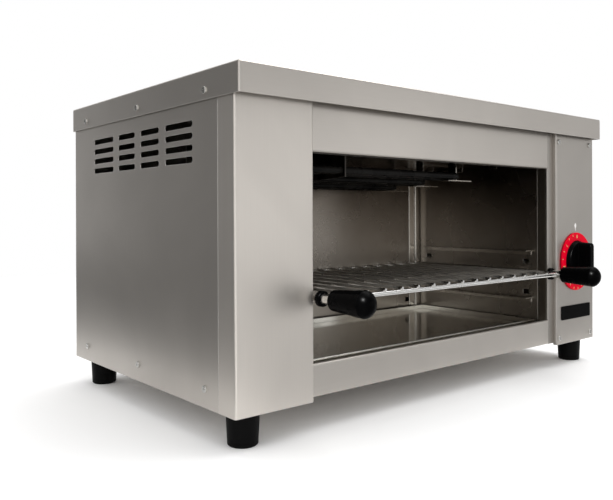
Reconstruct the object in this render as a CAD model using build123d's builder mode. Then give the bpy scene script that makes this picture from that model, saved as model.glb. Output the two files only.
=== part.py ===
"""Counter-top cheese melter: an open-fronted grill cabinet of folded stainless sheet.

The heating tubes hang under the cavity's ceiling, a wire rack with two handles slides on
runners below them, a crumb tray lies on the floor and one dial sets the power.
Units are millimetres. +X is the viewer's right, +Y goes into the cabinet, +Z is up, and
the origin is the middle of the whole object at the level of the surface it stands on.
"""
from build123d import *
import os

os.makedirs("parts", exist_ok=True)

# ---------------------------------------------------------------- driving dimensions
# cabinet
cabinet_width = 595.0
cabinet_depth = 347.0
visible_height = 273.0      # folded body that shows between the feet and the lid
sheet = 1.0                 # stainless sheet
bend_radius = 2.0           # outer radius of every fold
column_width = 86.5         # plain corner column left of the opening
panel_width = 94.5          # control panel right of the opening
stile_width = 12.0          # narrow upright between opening and control panel
stile_lap = 15.0            # stile's flange behind the control panel
frame_recess = 5.0          # header, rail and stile lie this far behind the column's face
wrap_depth = 26.0           # how far column and control panel wrap round the sides
return_depth = 20.0         # folded returns behind the front faces
header_height = 43.7        # header that shows below the lid
rail_gap = 2.4              # rail's lower edge above the column's lower edge
rail_height = 31.0
rail_lip = 6.0              # top of the rail, front to back
rail_hem = 9.0              # rail's turned-down back edge
tongue_reach = 14.0         # side panel's tongue behind the column and the control panel
tongue_lap = 4.0            # tongue's lap on its own side panel
flange = 12.0               # narrow inner flanges
pan_flange = 20.0
pan_flange_gap = 4.0        # pan's side flanges stop this far from what they meet
back_margin = 2.0           # back panel stays this far inside the outline

# lid
lid_height = 27.0
lid_overhang_side = 2.0
lid_overhang_front = 10.0
lid_overhang_back = 3.0

# side vents
slot_lengths = (52.0, 40.0, 40.0, 52.0)
slot_height = 6.0
slot_gap = 12.5
slot_start = 68.0           # first slot behind the cabinet's front
slot_rows = 4
slot_pitch = 11.0
slot_drop = 18.0            # top row below the lid's lower edge

# cavity
liner_inset = 4.5           # left liner wall behind the column's edge
cavity_depth = 220.0        # liner's back wall behind the cabinet's front
floor_height = 26.0         # cavity floor above the cabinet's underside
ceiling_rise = 6.7          # reflector above the header's lower edge
liner_rise = 14.0           # liner walls above the reflector
strip_width = 27.0          # rear corner cover strips
strip_bulge = 1.6
strip_bead = 2.2            # radius of the bead along their middle
hook_hole_width = 9.0
hook_hole_height = 6.0
front_hole_y = 37.0         # hook holes behind the cabinet's front
rear_hole_gap = 17.0        # rear hook holes in front of the cavity's back wall
upper_hole_z = 108.0
lower_hole_z = 68.0
back_hole_inset = 31.0      # hole in the back wall, in from the right liner wall
back_hole_z = 43.0

# rack runners
runner_count = 3
runner_pitch = 31.0
runner_ledge = 12.0
runner_leg = 6.0
runner_start = 29.0         # behind the cabinet's front
runner_back_gap = 15.0      # in front of the cavity's back wall

# crumb tray
tray_rim = 7.0
tray_side_gap = 4.0
tray_front_y = 22.0         # behind the cabinet's front
tray_back_gap = 7.0
tray_lift_gap = 0.3         # tray floats this far above its seat

# rack and handles
rack_side_gap = 10.0        # side bars' axes in from the liner walls
rack_front_reach = 14.0     # front bar in front of the cabinet's front
rack_back_gap = 8.0         # rear bar's axis in front of the cavity's back wall
rack_height = 94.5          # bar axes above the cabinet's underside
rack_bar_radius = 2.5
rack_corner = 8.0
rack_rest_gap = 0.3         # bars above the middle runners
wire_radius = 1.5
wire_count = 15
weld_sink = 0.4             # cross wires sink this much into the bars
wire_past_bar = 2.0
tie_bar_count = 2
tie_bar_radius = 2.0
rod_radius = 4.8
rod_rear_reach = 2.0        # handle rod's rear end in front of the cabinet's front
ferrule_radius = 5.8
ferrule_start = 17.0
rod_in_grip = 18.0
collar_radius = 7.4
collar_start = 3.0
collar_length = 5.0
collar_round = 1.6
grip_start = 22.0
grip_length = 47.5
grip_rear_radius = 9.6
grip_front_radius = 12.2
grip_dome = 8.0
grip_rear_round = 1.0
slip_fit = 0.05             # radial clearance of pieces pushed over each other

# heating elements
element_count = 3
element_radius = 4.0
element_first_y = 50.0      # middle of the front hairpin behind the cabinet's front
element_back_gap = 30.0     # middle of the rear hairpin in front of the cavity's back wall
element_spread = 34.0       # between the two passes of one hairpin
element_drop = 20.0         # front hairpin's axis below the reflector
element_step = 4.0          # each hairpin further back hangs this much lower
element_tip_gap = 138.5     # front hairpin's bend from the right liner wall
element_tip_step = 21.5     # each hairpin further back reaches this much further
element_tail = 19.0         # tube beyond the liner wall
bush_radius = 5.1
bush_hex = 13.0
bush_thickness = 5.0
bush_rim = 2.0
ceramic_radius = 3.4
ceramic_length = 6.0
pin_radius = 1.8
live_pin = 20.0
neutral_pin = 14.0
bus_width = 14.0
bus_clear_hole = 3.8        # hole in the neutral link round each live pin
bus_tail = 5.0
comb_inset = 68.0           # hole plate that carries the tubes, in from the left liner wall
comb_thickness = 1.5
comb_margin = 7.0
comb_rear_margin = 5.0
strap_width = 12.0
strap_thickness = 1.2
strap_lap = 14.0
strap_toe = 30.0            # bracket's tab past the bend
strap_roof = 84.0           # bracket's flange along the reflector
strap_lug = 7.0             # its turned-down end

# dial and regulator
dial_height = 107.0
dial_radius = 38.5
dial_thickness = 2.0
dial_gap = 0.4              # dial clear of the control panel
dial_hole = 9.0
dial_bevel = 0.6
knob_radius = 28.0
knob_front_radius = 26.0
knob_skirt = 5.5
knob_skirt_round = 1.4
knob_bar_width = 12.0
knob_bar_height = 16.0
knob_bar_taper = 4.0        # degrees
knob_bar_round = 1.5
knob_hollow = 9.5
knob_hollow_depth = 3.5
spindle_radius = 3.0
spindle_reach = 18.0
spindle_depth = 7.0
regulator_width = 44.0
regulator_height = 36.0
regulator_depth = 30.0
regulator_corner = 2.0
regulator_bush = 5.0
bush_reach = 2.0
panel_hole = 5.3
nut_hex = 14.0
nut_thickness = 1.6
tag_width = 6.3
tag_thickness = 0.8
tag_length = 8.0
tag_spread_x = 16.0
tag_spread_z = 12.0

# badge plate
badge_width = 72.5
badge_height = 18.0
badge_low = 31.0
badge_thickness = 1.0
badge_corner = 1.5

# electrical inlet
gland_inset = 49.0          # from the cabinet's right face
gland_height = 44.0
gland_thread = 8.0
gland_bore = 4.2
gland_hex = 24.0
gland_hex_length = 5.0
gland_cap_radius = 10.0
gland_cap_round = 3.0
gland_reach = 14.0          # beyond the back panel
gland_inside = 9.0
locknut_thickness = 3.0
block_width = 36.0
block_depth = 22.0
block_height = 18.0
block_back_gap = 60.0       # block's middle in front of the cabinet's back
block_bevel = 2.0
lead_radius = 1.5
lead_bend = 12.0
lead_step_back = 36.0       # heater leads turn this far behind the liner before they rise
supply_spread = 8.0
clip_count = 3
clip_inset = 80.0           # outer clips in from the liner walls
clip_width = 8.0
clip_wall = 2.0
lead_wall_gap = 1.5

# feet and screws
foot_height = 30.5
foot_top_radius = 15.25
foot_bottom_radius = 13.75
foot_inset = 23.5
foot_back_inset = 29.0
foot_bevel = 1.2
bolt_radius = 3.0
bolt_head_radius = 5.0
bolt_head_height = 4.0
bolt_length = 20.0
screw_radius = 1.9
screw_hole = 2.1
screw_head_radius = 3.3
screw_head_height = 1.5
screw_head_round = 0.7
screw_length = 9.0
side_screw_height = 17.0
lid_screw_height = 8.5      # above the lid's lower edge
rim_screw_count = 3         # along each long side, of the pan and of the lid
side_screw_front = 48.0     # first and last screw, in from the cabinet's front and back
side_screw_back = 37.0
lid_screw_front = 44.0
lid_screw_back = 38.5
panel_screw_inset_left = 6.0
panel_screw_inset_right = 10.5
panel_screw_low = 8.5
back_screw_count = 3        # up each side of the back panel
back_screw_low = 40.0       # lowest and highest one, from the underside and from the lid's lower edge
back_screw_high = 13.0
screw_slot = 0.5            # width and depth of the cross in a screw's head
screw_socket = 1.0

# ---------------------------------------------------------------- levels and planes
rear_reach = max(lid_overhang_back, gland_reach)
handle_reach = grip_start + grip_length
left_x = -cabinet_width / 2
right_x = cabinet_width / 2
front_y = (handle_reach - cabinet_depth - rear_reach) / 2
back_y = front_y + cabinet_depth
base_z = foot_height
lid_z = base_z + visible_height
top_z = lid_z + lid_height
body_top = top_z - sheet
body_height = body_top - base_z

frame_y = front_y + frame_recess
return_y = front_y + return_depth
wrap_y = front_y + wrap_depth
column_x = left_x + column_width
panel_x = right_x - panel_width
stile_x = panel_x - stile_width
stile_back_x = panel_x + stile_lap
rail_low = base_z + rail_gap
rail_top = rail_low + rail_height
header_low = lid_z - header_height

cavity_left = column_x - liner_inset
cavity_right = stile_x
cavity_back = front_y + cavity_depth
floor_z = base_z + floor_height
ceiling_z = header_low + ceiling_rise
liner_top = ceiling_z + liner_rise
pan_top = base_z + sheet

rack_left = cavity_left + rack_side_gap
rack_right = cavity_right - rack_side_gap
rack_z = base_z + rack_height
rack_front_y = front_y - rack_front_reach
rack_rear_y = cavity_back - rack_back_gap

dial_x = (panel_x + right_x) / 2
dial_z = base_z + dial_height
gland_x = right_x - gland_inset
gland_z = base_z + gland_height
block_y = back_y - block_back_gap


def slab(low, high, mode=Mode.ADD):
    """A flat-sided piece of sheet between its lowest and its highest corner."""
    size = [b - a for a, b in zip(low, high)]
    middle = tuple((a + b) / 2 for a, b in zip(low, high))
    with Locations(middle):
        Box(*size, mode=mode)


def bar_along_y(x, z, start_y, end_y, radius, mode=Mode.ADD):
    """A round bar or hole that runs front to back."""
    with Locations(Location((x, (start_y + end_y) / 2, z), (90, 0, 0))):
        Cylinder(radius, abs(end_y - start_y), mode=mode)


def bar_along_x(y, z, start_x, end_x, radius, mode=Mode.ADD):
    """A round bar or hole that runs left to right."""
    with Locations(Location(((start_x + end_x) / 2, y, z), (0, 90, 0))):
        Cylinder(radius, abs(end_x - start_x), mode=mode)


def folded_sheet(plane, path, length, side):
    """Sheet folded along the outer line of its section, as long as length."""
    with BuildPart() as folded:
        with BuildSketch(plane):
            with BuildLine():
                FilletPolyline(*path, radius=bend_radius)
                offset(amount=sheet, side=side, kind=Kind.INTERSECTION)
            make_face()
        extrude(amount=length)
    return folded.part


def spread(first, last, count):
    """Evenly spaced places from the first to the last."""
    return [first + (last - first) * number / (count - 1) for number in range(count)]


# ---------------------------------------------------------------- where the screws go
side_screw_points = [(y, base_z + side_screw_height)
                     for y in spread(front_y + side_screw_front, back_y - side_screw_back, rim_screw_count)]
lid_screw_points = [(y, lid_z + lid_screw_height)
                    for y in spread(front_y + lid_screw_front, back_y - lid_screw_back, rim_screw_count)]
panel_screw_zs = (base_z + panel_screw_low, lid_z - panel_screw_low)
panel_screw_left = panel_x + panel_screw_inset_left
panel_screw_right = right_x - panel_screw_inset_right
panel_screw_points = [(x, z) for x in (panel_screw_left, panel_screw_right) for z in panel_screw_zs]
back_screw_zs = spread(base_z + back_screw_low, lid_z - back_screw_high, back_screw_count)
back_screw_points = [(x, z) for x in (left_x + flange / 2 + sheet, right_x - flange / 2 - sheet)
                     for z in back_screw_zs]

# ---------------------------------------------------------------- heating element places
element_ys = spread(front_y + element_first_y, cavity_back - element_back_gap, element_count)
element_zs = [ceiling_z - element_drop - n * element_step for n in range(element_count)]
element_tips = [cavity_right - element_tip_gap + n * element_tip_step for n in range(element_count)]
pass_points = [(y + side * element_spread / 2, z)
               for y, z in zip(element_ys, element_zs) for side in (-1, 1)]
element_end_x = cavity_left - sheet - element_tail
live_x = element_end_x - ceramic_length - live_pin
neutral_x = element_end_x - ceramic_length - neutral_pin

# ---------------------------------------------------------------- base pan
foot_points = [(x, y) for x in (left_x + foot_inset, right_x - foot_inset)
               for y in (front_y + foot_inset, back_y - foot_back_inset)]
notch_left = cavity_left - sheet
notch_right = stile_back_x
with BuildPart() as base_pan:
    slab((left_x + sheet, front_y + sheet, base_z), (right_x - sheet, back_y - sheet, pan_top))
    fillet(base_pan.edges().filter_by(Axis.Z).group_by(Axis.Y)[0], bend_radius)
    slab((notch_left, front_y, base_z), (notch_right, return_y, pan_top), Mode.SUBTRACT)
    slab((notch_left, return_y, base_z), (notch_right, return_y + sheet, base_z + flange))
    for x in (left_x + sheet, right_x - 2 * sheet):
        slab((x, wrap_y + tongue_lap + pan_flange_gap, base_z),
             (x + sheet, back_y - pan_flange_gap, base_z + pan_flange))
    for x, y in foot_points:
        with Locations((x, y, base_z + sheet / 2)):
            Cylinder(bolt_radius + slip_fit, 2 * sheet, mode=Mode.SUBTRACT)
    for y, z in side_screw_points:
        bar_along_x(y, z, left_x, right_x, screw_radius + slip_fit, Mode.SUBTRACT)
base_pan.part.label = "base_pan"
export_step(base_pan.part, "parts/base_pan.step")


# ---------------------------------------------------------------- side panels
def side_panel(outer_x, inward):
    """Side sheet with vents, a tongue behind the front piece and a flange for the back panel."""
    def along(depth):
        return outer_x + inward * depth

    def piece(depth_from, depth_to, y_from, y_to, z_from, z_to):
        low_x, high_x = sorted((along(depth_from), along(depth_to)))
        slab((low_x, y_from, z_from), (high_x, y_to, z_to))

    with BuildPart() as panel:
        piece(0, sheet, wrap_y, back_y - sheet, base_z, body_top)
        piece(sheet, 2 * sheet, wrap_y - tongue_reach, wrap_y + tongue_lap, pan_top, body_top)
        piece(sheet, sheet + flange, back_y - 2 * sheet, back_y - sheet, pan_top, body_top)
        piece(sheet, sheet + flange, wrap_y + tongue_lap, back_y - 2 * sheet, body_top - sheet, body_top)
        slot_y = front_y + slot_start
        for length in slot_lengths:
            middle = (outer_x, slot_y + length / 2, lid_z - slot_drop - (slot_rows - 1) * slot_pitch / 2)
            with BuildSketch(Plane(origin=middle, x_dir=(0, 1, 0), z_dir=(1, 0, 0))):
                with GridLocations(length, slot_pitch, 1, slot_rows):
                    SlotOverall(length, slot_height)
            extrude(amount=2 * sheet, both=True, mode=Mode.SUBTRACT)
            slot_y += length + slot_gap
        for y, z in side_screw_points + lid_screw_points:
            bar_along_x(y, z, outer_x - sheet, outer_x + sheet, screw_hole, Mode.SUBTRACT)
        for y, z in lid_screw_points:
            bar_along_x(y, z, along(0), along(2 * sheet), screw_hole, Mode.SUBTRACT)
        for z in back_screw_zs:
            bar_along_y(along(sheet + flange / 2), z, back_y - 3 * sheet, back_y,
                        screw_radius + slip_fit, Mode.SUBTRACT)
    return panel


left_side_panel = side_panel(left_x, 1)
left_side_panel.part.label = "left_side_panel"
export_step(left_side_panel.part, "parts/left_side_panel.step")

right_side_panel = side_panel(right_x, -1)
right_side_panel.part.label = "right_side_panel"
export_step(right_side_panel.part, "parts/right_side_panel.step")

# ---------------------------------------------------------------- back panel
with BuildPart() as back_panel:
    slab((left_x + back_margin, back_y - sheet, base_z + back_margin),
         (right_x - back_margin, back_y, body_top - back_margin))
    bar_along_y(gland_x, gland_z, back_y - 2 * sheet, back_y + sheet, gland_thread + slip_fit, Mode.SUBTRACT)
    for x, z in back_screw_points:
        bar_along_y(x, z, back_y - 2 * sheet, back_y + sheet, screw_hole, Mode.SUBTRACT)
back_panel.part.label = "back_panel"
export_step(back_panel.part, "parts/back_panel.step")

# ---------------------------------------------------------------- lid
lid_left = left_x - lid_overhang_side
lid_right = right_x + lid_overhang_side
lid_bend = min(bend_radius, lid_overhang_side)
with BuildPart() as top_lid:
    slab((lid_left, front_y - lid_overhang_front, lid_z), (lid_right, back_y + lid_overhang_back, top_z))
    fillet(top_lid.edges().filter_by(Axis.Z) + top_lid.edges().group_by(Axis.Z)[-1], lid_bend)
    offset(amount=-sheet, openings=top_lid.faces().sort_by(Axis.Z)[0])
    for y, z in lid_screw_points:
        bar_along_x(y, z, lid_left - sheet, lid_right + sheet, screw_hole, Mode.SUBTRACT)
top_lid.part.label = "top_lid"
export_step(top_lid.part, "parts/top_lid.step")

# ---------------------------------------------------------------- front column, left
column_path = [(left_x, wrap_y), (left_x, front_y), (column_x, front_y), (column_x, return_y),
               (cavity_left - sheet, return_y)]
with BuildPart() as left_front_column:
    add(folded_sheet(Plane.XY.offset(base_z), column_path, body_height, Side.LEFT))
left_front_column.part.label = "left_front_column"
export_step(left_front_column.part, "parts/left_front_column.step")

# ---------------------------------------------------------------- header and rail
across = Plane(origin=(column_x, 0, 0), x_dir=(0, 1, 0), z_dir=(1, 0, 0))
opening_width = stile_x - column_x

header_lip = ceiling_z + 2 * sheet
header_path = [(return_y, body_top), (frame_y, body_top), (frame_y, header_low), (return_y, header_low),
               (return_y, header_lip)]
with BuildPart() as header_panel:
    add(folded_sheet(across, header_path, opening_width, Side.LEFT))
header_panel.part.label = "header_panel"
export_step(header_panel.part, "parts/header_panel.step")

rail_back_y = frame_y + rail_lip
rail_path = [(return_y, rail_low), (frame_y, rail_low), (frame_y, rail_top), (rail_back_y, rail_top),
             (rail_back_y, rail_top - rail_hem)]
with BuildPart() as bottom_rail:
    add(folded_sheet(across, rail_path, opening_width, Side.RIGHT))
bottom_rail.part.label = "bottom_rail"
export_step(bottom_rail.part, "parts/bottom_rail.step")

# ---------------------------------------------------------------- stile, right of the opening
stile_path = [(stile_x, return_y), (stile_x, frame_y), (stile_back_x, frame_y)]
with BuildPart() as right_stile:
    add(folded_sheet(Plane.XY.offset(rail_low), stile_path, body_top - rail_low, Side.LEFT))
    for z in panel_screw_zs:
        bar_along_y(panel_screw_left, z, frame_y - sheet, frame_y + 2 * sheet, screw_radius + slip_fit,
                    Mode.SUBTRACT)
right_stile.part.label = "right_stile"
export_step(right_stile.part, "parts/right_stile.step")

# ---------------------------------------------------------------- control panel
panel_path = [(panel_x, frame_y), (panel_x, front_y), (right_x, front_y), (right_x, wrap_y)]
with BuildPart() as control_panel:
    add(folded_sheet(Plane.XY.offset(base_z), panel_path, body_height, Side.LEFT))
    bar_along_y(dial_x, dial_z, front_y - sheet, front_y + 2 * sheet, panel_hole, Mode.SUBTRACT)
    for x, z in panel_screw_points:
        bar_along_y(x, z, front_y - sheet, front_y + 2 * sheet, screw_hole, Mode.SUBTRACT)
control_panel.part.label = "control_panel"
export_step(control_panel.part, "parts/control_panel.step")

# two angles behind the control panel that take its right-hand screws
bracket_low_x = stile_back_x + sheet
bracket_high_x = right_x - bend_radius
with BuildPart() as panel_brackets:
    for z, toward in zip(panel_screw_zs, (1, -1)):
        leg_low, leg_high = sorted((z - toward * flange / 2, z + toward * flange / 2))
        shelf_low, shelf_high = sorted((z + toward * flange / 2, z + toward * (flange / 2 + sheet)))
        slab((bracket_low_x, front_y + sheet, leg_low), (bracket_high_x, front_y + 2 * sheet, leg_high))
        slab((bracket_low_x, front_y + sheet, shelf_low), (bracket_high_x, wrap_y, shelf_high))
        bar_along_y(panel_screw_right, z, front_y, front_y + 3 * sheet, screw_radius + slip_fit,
                    Mode.SUBTRACT)
panel_brackets.part.label = "panel_brackets"
export_step(panel_brackets.part, "parts/panel_brackets.step")

# ---------------------------------------------------------------- cavity liner
hook_holes = [(y, base_z + z) for y in (front_y + front_hole_y, cavity_back - rear_hole_gap)
              for z in (upper_hole_z, lower_hole_z)]


def liner_wall(low_x):
    """Side wall of the cavity with the hook holes of the runners."""
    with BuildPart() as wall:
        slab((low_x, return_y + sheet, pan_top), (low_x + sheet, cavity_back, liner_top))
        slab((low_x, return_y, base_z + flange), (low_x + sheet, return_y + sheet, liner_top))
        for y, z in hook_holes:
            with Locations((low_x + sheet / 2, y, z)):
                Box(2 * sheet, hook_hole_width, hook_hole_height, mode=Mode.SUBTRACT)
    return wall


with BuildPart() as liner_left_wall:
    add(liner_wall(cavity_left - sheet).part)
    for y, z in pass_points:
        bar_along_x(y, z, cavity_left - 2 * sheet, cavity_left + sheet, bush_radius + slip_fit, Mode.SUBTRACT)
liner_left_wall.part.label = "liner_left_wall"
export_step(liner_left_wall.part, "parts/liner_left_wall.step")

liner_right_wall = liner_wall(cavity_right)
liner_right_wall.part.label = "liner_right_wall"
export_step(liner_right_wall.part, "parts/liner_right_wall.step")

with BuildPart() as liner_back_wall:
    slab((cavity_left - sheet, cavity_back, pan_top), (cavity_right + sheet, cavity_back + sheet, liner_top))
    with Locations((cavity_right - back_hole_inset, cavity_back + sheet / 2, base_z + back_hole_z)):
        Box(hook_hole_width, 2 * sheet, hook_hole_height, mode=Mode.SUBTRACT)
liner_back_wall.part.label = "liner_back_wall"
export_step(liner_back_wall.part, "parts/liner_back_wall.step")

with BuildPart() as cavity_floor:
    slab((cavity_left, return_y, floor_z - sheet), (cavity_right, cavity_back, floor_z))
    slab((column_x, rail_back_y, floor_z - sheet), (cavity_right, return_y, floor_z))
cavity_floor.part.label = "cavity_floor"
export_step(cavity_floor.part, "parts/cavity_floor.step")

with BuildPart() as ceiling_reflector:
    slab((cavity_left, return_y, ceiling_z), (cavity_right, cavity_back, ceiling_z + sheet))
ceiling_reflector.part.label = "ceiling_reflector"
export_step(ceiling_reflector.part, "parts/ceiling_reflector.step")


# ---------------------------------------------------------------- rear corner cover strips
def corner_strip(low_x):
    """Shallow strip with a bead, which covers the seam between the back and a side wall."""
    high_x = low_x + strip_width
    middle_x = (low_x + high_x) / 2
    crown = (middle_x, cavity_back - strip_bulge)
    with BuildPart() as strip:
        with BuildSketch(Plane.XY.offset(floor_z)):
            with BuildLine():
                ThreePointArc((low_x, cavity_back), crown, (high_x, cavity_back))
                Line((high_x, cavity_back), (low_x, cavity_back))
            make_face()
            with Locations(crown):
                Circle(strip_bead)
            with Locations((middle_x, cavity_back)):
                Rectangle(strip_width, strip_bead, align=(Align.CENTER, Align.MIN), mode=Mode.SUBTRACT)
        extrude(amount=ceiling_z - floor_z)
    return strip


corner_strip_left = corner_strip(cavity_left)
corner_strip_left.part.label = "corner_strip_left"
export_step(corner_strip_left.part, "parts/corner_strip_left.step")

corner_strip_right = corner_strip(cavity_right - strip_width)
corner_strip_right.part.label = "corner_strip_right"
export_step(corner_strip_right.part, "parts/corner_strip_right.step")


# ---------------------------------------------------------------- rack runners
runner_end_y = cavity_back - runner_back_gap
runner_length = runner_end_y - front_y - runner_start
middle_ledge = rack_z - rack_bar_radius - rack_rest_gap
ledge_tops = [middle_ledge + (n - (runner_count - 1) / 2) * runner_pitch for n in range(runner_count)]


def runners(wall_x, inward):
    """Angle runners on one wall: a ledge for the rack's side bar over a short leg."""
    path = [(wall_x + inward * runner_ledge, 0), (wall_x, 0), (wall_x, -runner_leg)]
    with BuildPart() as angles:
        for top in ledge_tops:
            start = Plane(origin=(0, runner_end_y, top), x_dir=(1, 0, 0), z_dir=(0, -1, 0))
            add(folded_sheet(start, path, runner_length, Side.LEFT if inward > 0 else Side.RIGHT))
    return angles


rack_runners_left = runners(cavity_left, 1)
rack_runners_left.part.label = "rack_runners_left"
export_step(rack_runners_left.part, "parts/rack_runners_left.step")

rack_runners_right = runners(cavity_right, -1)
rack_runners_right.part.label = "rack_runners_right"
export_step(rack_runners_right.part, "parts/rack_runners_right.step")

# ---------------------------------------------------------------- crumb tray
tray_low = (cavity_left + tray_side_gap, front_y + tray_front_y, floor_z + tray_lift_gap)
tray_high = (cavity_right - tray_side_gap, cavity_back - tray_back_gap, floor_z + tray_lift_gap + tray_rim)
with BuildPart() as crumb_tray:
    slab(tray_low, tray_high)
    offset(amount=-sheet, openings=crumb_tray.faces().sort_by(Axis.Z)[-1])
crumb_tray.part.label = "crumb_tray"
export_step(crumb_tray.part, "parts/crumb_tray.step")

# ---------------------------------------------------------------- heating elements
element_names = ("heating_element_front", "heating_element_middle", "heating_element_rear")
for name, y, z, tip in zip(element_names, element_ys, element_zs, element_tips):
    bend_x = tip - element_spread / 2 - element_radius
    near_y = y - element_spread / 2
    far_y = y + element_spread / 2
    with BuildPart() as heating_element:
        with BuildLine():
            Line((element_end_x, near_y, z), (bend_x, near_y, z))
            ThreePointArc((bend_x, near_y, z), (bend_x + element_spread / 2, y, z), (bend_x, far_y, z))
            Line((bend_x, far_y, z), (element_end_x, far_y, z))
        with BuildSketch(Plane(origin=(element_end_x, near_y, z), z_dir=(1, 0, 0))):
            Circle(element_radius)
        sweep()
    heating_element.part.label = name
    export_step(heating_element.part, f"parts/{name}.step")

# hexagon bushes that hold the tubes in the left liner wall
with BuildPart() as element_bushes:
    for y, z in pass_points:
        with BuildSketch(Plane(origin=(cavity_left - sheet, y, z), z_dir=(-1, 0, 0))):
            RegularPolygon(bush_hex / 2, 6, major_radius=False)
        extrude(amount=bush_thickness)
        bar_along_x(y, z, cavity_left - sheet, cavity_left + bush_rim, bush_radius)
        bar_along_x(y, z, cavity_left, cavity_left + bush_rim, bush_hex / 2)
        bar_along_x(y, z, cavity_left - sheet - bush_thickness, cavity_left + bush_rim,
                    element_radius + slip_fit, Mode.SUBTRACT)
element_bushes.part.label = "element_bushes"
export_step(element_bushes.part, "parts/element_bushes.step")

# ceramic beads on the tube ends, and the steel pins that come out of them
with BuildPart() as element_insulators:
    for y, z in pass_points:
        bar_along_x(y, z, element_end_x - ceramic_length, element_end_x, ceramic_radius)
        bar_along_x(y, z, element_end_x - ceramic_length, element_end_x, pin_radius + slip_fit, Mode.SUBTRACT)
element_insulators.part.label = "element_insulators"
export_step(element_insulators.part, "parts/element_insulators.step")

with BuildPart() as element_pins:
    for number, (y, z) in enumerate(pass_points):
        bar_along_x(y, z, neutral_x if number % 2 else live_x, element_end_x, pin_radius)
element_pins.part.label = "element_pins"
export_step(element_pins.part, "parts/element_pins.step")


def bus_bar(points, x):
    """Flat link over three pins; its ends stand past the outer pins by the same tail."""
    (first_y, first_z), (last_y, last_z) = points[0], points[-1]
    fall = (last_z - first_z) / (last_y - first_y)
    tail = bus_width / 2 + bus_tail
    low = [(first_y - tail, first_z - fall * tail - bus_width / 2),
           (last_y + tail, last_z + fall * tail - bus_width / 2)]
    high = [(y, z + bus_width) for y, z in reversed(low)]
    with BuildPart() as link:
        with BuildSketch(Plane(origin=(x, 0, 0), x_dir=(0, 1, 0), z_dir=(1, 0, 0))):
            with BuildLine():
                Polyline(*low, *high, close=True)
            make_face()
        extrude(amount=sheet)
        for y, z in points:
            bar_along_x(y, z, x - sheet, x + 2 * sheet, pin_radius + slip_fit, Mode.SUBTRACT)
    return link, last_y + tail, last_z + fall * tail


live_bar_x = live_x + 2 * sheet
neutral_bar_x = neutral_x + 2 * sheet
live_pass_points = pass_points[0::2]
live_bar, live_end_y, live_end_z = bus_bar(live_pass_points, live_bar_x)
neutral_bar, neutral_end_y, neutral_end_z = bus_bar(pass_points[1::2], neutral_bar_x)
with BuildPart() as bus_bars:
    add(neutral_bar.part)
    for y, z in live_pass_points:
        bar_along_x(y, z, neutral_bar_x - sheet, neutral_bar_x + 2 * sheet, bus_clear_hole, Mode.SUBTRACT)
    add(live_bar.part)
bus_bars.part.label = "bus_bars"
export_step(bus_bars.part, "parts/bus_bars.step")

# hole plate that hangs from the reflector and carries the tubes near the left wall
comb_low_x = cavity_left + comb_inset
comb_front_y = pass_points[0][0] - comb_margin
comb_back_y = pass_points[-1][0] + comb_rear_margin
comb_front_z = pass_points[0][1] - comb_margin
comb_back_z = pass_points[-1][1] - comb_margin
with BuildPart() as element_comb:
    with BuildSketch(Plane(origin=(comb_low_x, 0, 0), x_dir=(0, 1, 0), z_dir=(1, 0, 0))):
        with BuildLine():
            Polyline((comb_front_y, ceiling_z), (comb_back_y, ceiling_z), (comb_back_y, comb_back_z),
                     (comb_front_y, comb_front_z), close=True)
        make_face()
    extrude(amount=comb_thickness)
    for y, z in pass_points:
        bar_along_x(y, z, comb_low_x - sheet, comb_low_x + 2 * comb_thickness, element_radius + slip_fit,
                    Mode.SUBTRACT)
element_comb.part.label = "element_comb"
export_step(element_comb.part, "parts/element_comb.step")

# brackets that hang the hairpins' bends from the reflector
with BuildPart() as element_straps:
    for y, z, tip in zip(element_ys, element_zs, element_tips):
        strap_z = z - element_radius - strap_thickness
        low_y, high_y = y - strap_width / 2, y + strap_width / 2
        riser_x = tip + slip_fit
        roof_x = riser_x + strap_roof
        slab((tip - strap_lap, low_y, strap_z), (riser_x + strap_toe, high_y, strap_z + strap_thickness))
        slab((riser_x, low_y, strap_z), (riser_x + strap_thickness, high_y, ceiling_z))
        slab((riser_x, low_y, ceiling_z - strap_thickness), (roof_x, high_y, ceiling_z))
        slab((roof_x - strap_thickness, low_y, ceiling_z - strap_lug), (roof_x, high_y, ceiling_z))
element_straps.part.label = "element_straps"
export_step(element_straps.part, "parts/element_straps.step")

# ---------------------------------------------------------------- rack
side_start_y = front_y - rod_rear_reach
with BuildPart() as rack_frame:
    with BuildLine():
        FilletPolyline((rack_left, side_start_y, rack_z), (rack_left, rack_rear_y, rack_z),
                       (rack_right, rack_rear_y, rack_z), (rack_right, side_start_y, rack_z),
                       radius=rack_corner)
    with BuildSketch(Plane(origin=(rack_left, side_start_y, rack_z), z_dir=(0, 1, 0))):
        Circle(rack_bar_radius)
    sweep()
    for number in range(tie_bar_count):
        tie_y = rack_front_y + (rack_rear_y - rack_front_y) * (number + 1) / (tie_bar_count + 1)
        bar_along_x(tie_y, rack_z + rack_bar_radius - tie_bar_radius, rack_left, rack_right, tie_bar_radius)
rack_frame.part.label = "rack_frame"
export_step(rack_frame.part, "parts/rack_frame.step")

with BuildPart() as rack_front_bar:
    bar_along_x(rack_front_y, rack_z, rack_left, rack_right, rack_bar_radius)
    for x in (rack_left, rack_right):
        bar_along_y(x, rack_z, rack_front_y - rod_radius, side_start_y, rod_radius, Mode.SUBTRACT)
rack_front_bar.part.label = "rack_front_bar"
export_step(rack_front_bar.part, "parts/rack_front_bar.step")

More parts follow.
